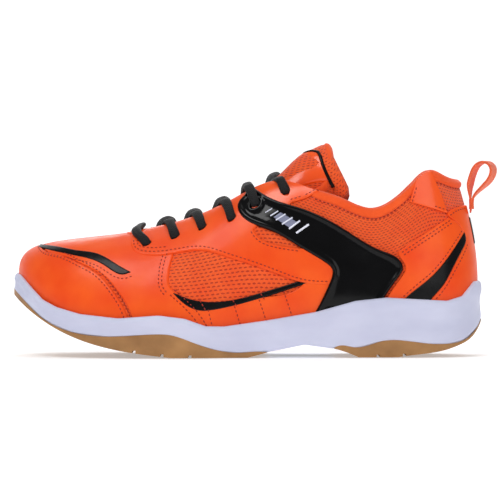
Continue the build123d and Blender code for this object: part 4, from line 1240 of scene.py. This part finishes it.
def make_pull_loop():
    rounded = natural_curve(LOOP_LINE, 0.9)
    along = np.gradient(rounded, axis=0)
    along = unit(along)
    half_w, half_t, edge = LOOP_WIDTH / 2, 0.75, 0.5
    profile = [(y, t) for y, t in (
        (-half_w, -0.2), (-half_w + 0.2, -half_t + 0.15), (-half_w + edge, -half_t))]
    profile += [(y, -half_t) for y in np.linspace(-half_w + 1, half_w - 1, 9)]
    profile += [(-y, t) for y, t in profile[2::-1]]
    profile += [(-y, -t) for y, t in profile]
    rings, uv = [], []
    for k, (p, d) in enumerate(zip(rounded, along)):
        normal = np.array([-d[1], d[0]])
        free = np.clip((p[1] - 96) / 10, 0, 1)
        lean, flat = math.sin(LOOP_TURN * free), math.cos(LOOP_TURN * free)
        rings.append(np.array([(p[0] + normal[0] * t + y * lean, y * flat, p[1] + normal[1] * t)
                               for y, t in profile]))
        uv += [(k * 0.9, y + (20 if t > 0 else 0)) for y, t in profile]
    loop = swept("pull_loop_webbing", rings, MAT["web"], uv, rides=None)
    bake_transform(loop)
    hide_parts("pull_loop")
    rings = []
    for z, shrink in ((88.1, 0.5), (88.5, 0.15), (89.5, 0), (91.5, 0), (93.5, 0), (94.4, 0.15),
                      (94.8, 0.5)):
        x = np.interp(z, (88.1, 94.8), (138.25, 138.95))
        turn = np.linspace(0, 2 * math.pi, 24, endpoint=False)
        thin = np.sign(np.cos(turn)) * np.sqrt(np.abs(np.cos(turn))) * 0.55 * (1 - shrink)
        rings.append(np.column_stack([x + thin, (half_w - shrink) * np.sin(turn), np.full(24, z)]))
    tab = swept("pull_loop_tab", rings, MAT["web"], [(z, k) for z in range(7) for k in range(24)])
    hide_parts("pull_loop_anchor")


LOOP_WIDTH = 10.0
LOOP_TURN = math.radians(24)  # the webbing sits a little turned on the heel seam
LOOP_LINE = [(138.4, 90.5), (138.2, 97.5), (138.0, 104), (139.8, 112), (143.4, 118.2), (148, 119.6),
             (151.8, 117), (151.6, 111), (147.5, 105.5), (142.6, 101), (140.0, 97.5), (139.6, 90.5)]


# ------------------------------------------------------------------ the lace
def lace_route():
    """The lace's corner points, from one free end to the other."""
    lace_d, gap = 2.6, 0.5
    under = LINING_IN - gap / 2 - lace_d / 2
    over = lace_d / 2 + gap + 0.3
    where = {side: locate(EYELETS, side) for _, side in SIDES}

    def hole(i, side, depth):
        t, v = where[side][i]
        return body(t, v)[0] + body_normal(t, v)[0] * depth

    def edge_t(x, side):
        ts = np.linspace(0, TOE, 1400) if side == LATERAL else np.linspace(LAPS, TOE, 1400)
        xs = station(ts)[:, 3]
        return float(np.interp(-x, -xs, ts))

    def edge(i, side, depth, along=0.0):
        t = edge_t(hole(i, side, 0)[0] + 1.5 + along, side)
        return body(t, 0.999)[0] + body_normal(t, 0.97)[0] * depth

    def lift(i):
        return over + (CAGE_RISE if i == 4 else 0.0)

    def between(i, side, depth):
        t, v = where[side][i]
        t, v = (t + edge_t(body(t, v)[0][0] + 1.5 - LACE_LEAN, side)) / 2, (v + 1) / 2
        return body(t, v)[0] + body_normal(t, v)[0] * depth

    def half(side, high):
        points, last = [], len(EYELETS) - 1
        for i in range(len(EYELETS)):
            points += [edge(i, side, lift(i) + 0.7, -LACE_LEAN), between(i, side, lift(i) + 0.4),
                       hole(i, side, lift(i)), hole(i, side, under)]
            if i < last:
                points.append(edge(i, side, under, 2.5))
                middle = (edge(i, side, under, 3.0) + edge(i + 1, -side, over, -LACE_LEAN)) * 0.5
                apart = lace_d / 2 + (2.2 if i == last - 2 else 1.9)
                rise = apart if (i % 2 == 0) == high else -apart
                points.append(middle + (0, 0, rise + (5.0 if i == last - 1 else 3.6)))
                side = -side
        end = hole(last, side, under)
        return points + [end + (9, 0, -2.5), end + (17, 0, -7.0)]

    bar = (edge(0, LATERAL, over + 1.0, -LACE_LEAN) + edge(0, MEDIAL, over + 1.0, -LACE_LEAN)) * 0.5
    return np.array(half(LATERAL, True)[::-1] + [bar] + half(MEDIAL, False))


def make_lace():
    route = lace_route()
    for _ in range(3):  # corners cut until they are round
        a, b = route[:-1], route[1:]
        cutting = np.stack([a * 0.75 + b * 0.25, a * 0.25 + b * 0.75], 1).reshape(-1, 3)
        route = np.vstack([route[:1], cutting, route[-1:]])
    run = run_of(route)
    s = np.arange(0, run[-1], 0.8)
    line = at_run(s, run, route)
    along = np.gradient(line, axis=0)
    along = unit(along)
    turn = np.linspace(0, 2 * np.pi, 14, endpoint=False)
    c, d = np.cos(turn), np.sin(turn)
    flat_c, flat_d = np.sign(c) * np.abs(c)**0.75, np.sign(d) * np.abs(d)**0.8
    rings, uv = [], []
    wide_before = np.array([1.0, 0, 0.35])
    for p, tangent, at in zip(line, along, s):
        wide = wide_before - tangent * (wide_before @ tangent)
        wide = unit(wide)
        settle = np.array([1.0, 0, 0.35]) - tangent * (np.array([1.0, 0, 0.35]) @ tangent)
        settle /= max(np.linalg.norm(settle), 1e-6)
        wide = wide * 0.6 + settle * 0.4
        wide = unit(wide)
        wide_before = wide
        high = np.cross(tangent, wide)
        w = LACE_WIDE / 2 * (1 + 0.05 * np.sin(at * 0.37))
        rings.append(p + np.outer(flat_c, wide) * w + np.outer(flat_d, high) * LACE_THICK / 2)
        uv += [(at, k * 0.75) for k in range(14)]
    lace = swept("lace_braid", rings, MAT["lace"], uv)
    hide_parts("lace")


def seam(runs, distance, side):
    """Sheet points of a chain moved to its left, as seen with the toe on the left."""
    line = offset_line(chain(*runs), distance, closed=False)
    at = locate(line, side) * (SHEET_T, SHEET_V)
    away = np.abs(at[:, 0] - TOE_LINE) > 1.0
    low = at[:, 1] > 1.0
    return at[away & low]


# Seam rows: the edge they follow, how far to its left, and the depth of the panel they hold.
SEAMS = [
    ([TOE_CAP], -1.6, 0.3), ([TOE_CAP], 2.0, 0.0), ([TOE_ACCENT[1]], 2.4, 0.0),
    ([EYESTAY_EDGE[1:]], 2.0, 0.45), ([EYESTAY_EDGE[1:6]], 4.2, 0.45),
    ([VAMP_REAR], -2.2, 0.0), ([VAMP_REAR], -4.2, 0.0), ([VAMP_FOOT], -2.0, 0.0),
    ([VAMP_FOOT], 2.0, 0.15), ([LEAF[3:]], -1.8, 0.45), ([HEEL_BAND[2:5]], 1.8, 0.35),
    ([HEEL_BAND[2:5]], 3.8, 0.35), ([ACCENT_FRONT[:-1]], -2.0, 0.35),
    ([ACCENT_REAR[1:-1]], -2.0, 0.2), ([BACKSTAY_TOP[2:]], -2.0, 0.2),
    ([TOP_PATCH[4:6]], 1.6, 0.55), ([TOP_PATCH[5:7]], 1.6, 0.55), ([HEEL_PATCH[:2]], -1.6, 0.55),
    ([HEEL_PATCH[5:7]], -1.6, 0.55),
    ([[(-29, 35.5), (-25, 28.5)]], 0, 0.5), ([[(-9, 35.5), (-5, 29.5)]], 0, 0.5),
    ([[(8, 39.5), (11, 35)]], 0, 0.5), ([[(-24, 30), (-20, 14)]], 0, 0.15),
    ([[(-8, 32), (-3, 16)]], 0, 0.15), ([[(7, 36), (13, 18)]], 0, 0.15),
    ([[(22, 41), (29, 20)]], 0, 0.15),
]


def make_stitches():
    """Seam rows: a doubled row at the toe cap, single rows along the other edges."""
    rows = []
    for _, side in SIDES:
        rows += [(seam(runs, distance, side), depth) for runs, distance, depth in SEAMS]
        ts = np.linspace(0.2, 6.0, 200)
        ts = ts if side == LATERAL else LAPS - ts
        rows.append((np.column_stack([ts * SHEET_T, (below_rim(ts) - 0.014) * SHEET_V]), -0.9))
    stitches = stitch_rows("upper_stitches", rows, MAT["thread"], 1.8, 2.6, 0.7, 0.5)


# Foot and tip of each slash printed on the cage, and its width.
SLASHES = [((11.3, 87.9), (15.5, 90.5), 0.5), ((14.3, 85.9), (19.2, 89.0), 0.7),
           ((17.7, 83.4), (23.6, 87.1), 0.8), ((21.4, 80.9), (27.9, 85.1), 0.9),
           ((25.7, 78.1), (32.4, 83.2), 1.0), ((30.1, 75.6), (37.9, 81.0), 1.2)]
GREY_FIELD = [(16.2, 85.2), (20.6, 88.2), (31.0, 82.0), (26.2, 78.8)]


def make_slashes():
    """A plain row of slanted bars over a grey field on each cage."""
    for name, side in SIDES:
        shapes = [(GREY_FIELD, "decal", 1.0)]
        for foot, tip, width in SLASHES:
            along = np.array(tip) - foot
            half = np.array([along[1], -along[0]]) / np.linalg.norm(along) * width / 2
            shapes.append(([foot - half, foot + half, tip + half, tip - half], "decal_pale", 1.12))
        for k, (corners, look, top) in enumerate(shapes):
            outline = on_side(edges_of(corners), side, 0.4)
            panel("cage_bar_%s_%d" % (name, k), outline, look, top, 0.5, 0.1, grid=0.8,
                  insets=(0.1,), outline_step=0.4)


# ------------------------------------------------------------------ build
make_stitches()
make_slashes()
make_midsole()
make_bootees()
make_footbed()
make_backings()
make_front_panels()
make_side_panels()
make_heel_panels()
make_collar()
make_tongue()
make_tongue_binding()
make_tongue_trim()
make_pull_loop()
make_lace()
for node_name, look in NODE_MATERIALS.items():
    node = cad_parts[node_name]
    node.data.materials.clear()
    node.data.materials.append(MAT[look])

# ------------------------------------------------------------------ camera, light, floor
camera = bpy.data.objects.new("camera", bpy.data.cameras.new("camera"))
scene.collection.objects.link(camera)
scene.camera = camera
CAMERA_AWAY = 2.4
VIEW_WIDTH = 0.310
camera.location = (-0.0024, -CAMERA_AWAY, 0.0651 + 0.03)
camera.rotation_euler = (math.radians(90) - math.atan2(0.03, CAMERA_AWAY), 0, 0)
camera.data.sensor_width = 36
camera.data.lens = 36 * CAMERA_AWAY / VIEW_WIDTH
camera.data.clip_start, camera.data.clip_end = 0.05, 30


def area_light(name, place, aim, size, power, colour=(1, 1, 1)):
    data = bpy.data.lights.new(name, "AREA")
    data.shape = "RECTANGLE"
    data.size, data.size_y = size
    data.energy = power
    data.color = colour
    light = bpy.data.objects.new(name, data)
    light.location = place
    light.rotation_euler = (Vector(aim) - Vector(place)).to_track_quat("-Z", "Y").to_euler()
    scene.collection.objects.link(light)


area_light("key", (-0.5, -1.1, 1.5), (0, 0, 0.05), (0.9, 0.7), 13)
area_light("fill", (1.0, -1.5, 0.6), (0, 0, 0.05), (0.9, 0.9), 4)
area_light("top", (0.1, 0.25, 1.6), (0, 0, 0.05), (1.3, 0.9), 5)
area_light("rim", (0.2, 1.3, 0.8), (0, 0, 0.08), (1.2, 0.6), 4)
world = bpy.data.worlds.new("studio")
scene.world = world
world.use_nodes = True
world.node_tree.nodes["Background"].inputs[0].default_value = (1, 1, 1, 1)
world.node_tree.nodes["Background"].inputs[1].default_value = 0.28

floor_mesh = bpy.data.meshes.new("floor")
FLOOR_Z = -0.0003
WALL_FOOT = 3.0  # the floor starts to rise here
sweep = [(-6.0, FLOOR_Z), (WALL_FOOT, FLOOR_Z)] + [
    (WALL_FOOT + math.sin(a), 1 + FLOOR_Z - math.cos(a)) for a in np.linspace(0.1, math.pi / 2, 12)
] + [(WALL_FOOT + 1, 6.0)]
floor_mesh.from_pydata([(x, y, z) for y, z in sweep for x in (-6, 6)], [],
                       [(2 * i, 2 * i + 1, 2 * i + 3, 2 * i + 2) for i in range(len(sweep) - 1)])
floor_mesh.polygons.foreach_set("use_smooth", [True] * len(floor_mesh.polygons))
floor = bpy.data.objects.new("floor", floor_mesh)
scene.collection.objects.link(floor)
plain = Nodes("studio_floor", Specular_IOR_Level=0.1, Emission_Color=(1, 1, 1, 1))
plain.feed(plain.shader.inputs["Emission Strength"],  # brighter towards the wall than at the shoe
           plain.between(plain.split(plain.place)[1], 0.4, 2.4, 0.34, 0.62))
floor_mesh.materials.append(plain.finish(
    plain.ramp(plain.noise(plain.place, 3.0), (0.3, (0.86, 0.86, 0.87, 1)), (0.7, (0.89, 0.89, 0.9, 1))),
    plain.between(plain.noise(plain.place, 20.0), 0.2, 0.8, 0.75, 0.85)))
scene.view_settings.view_transform = "Standard"
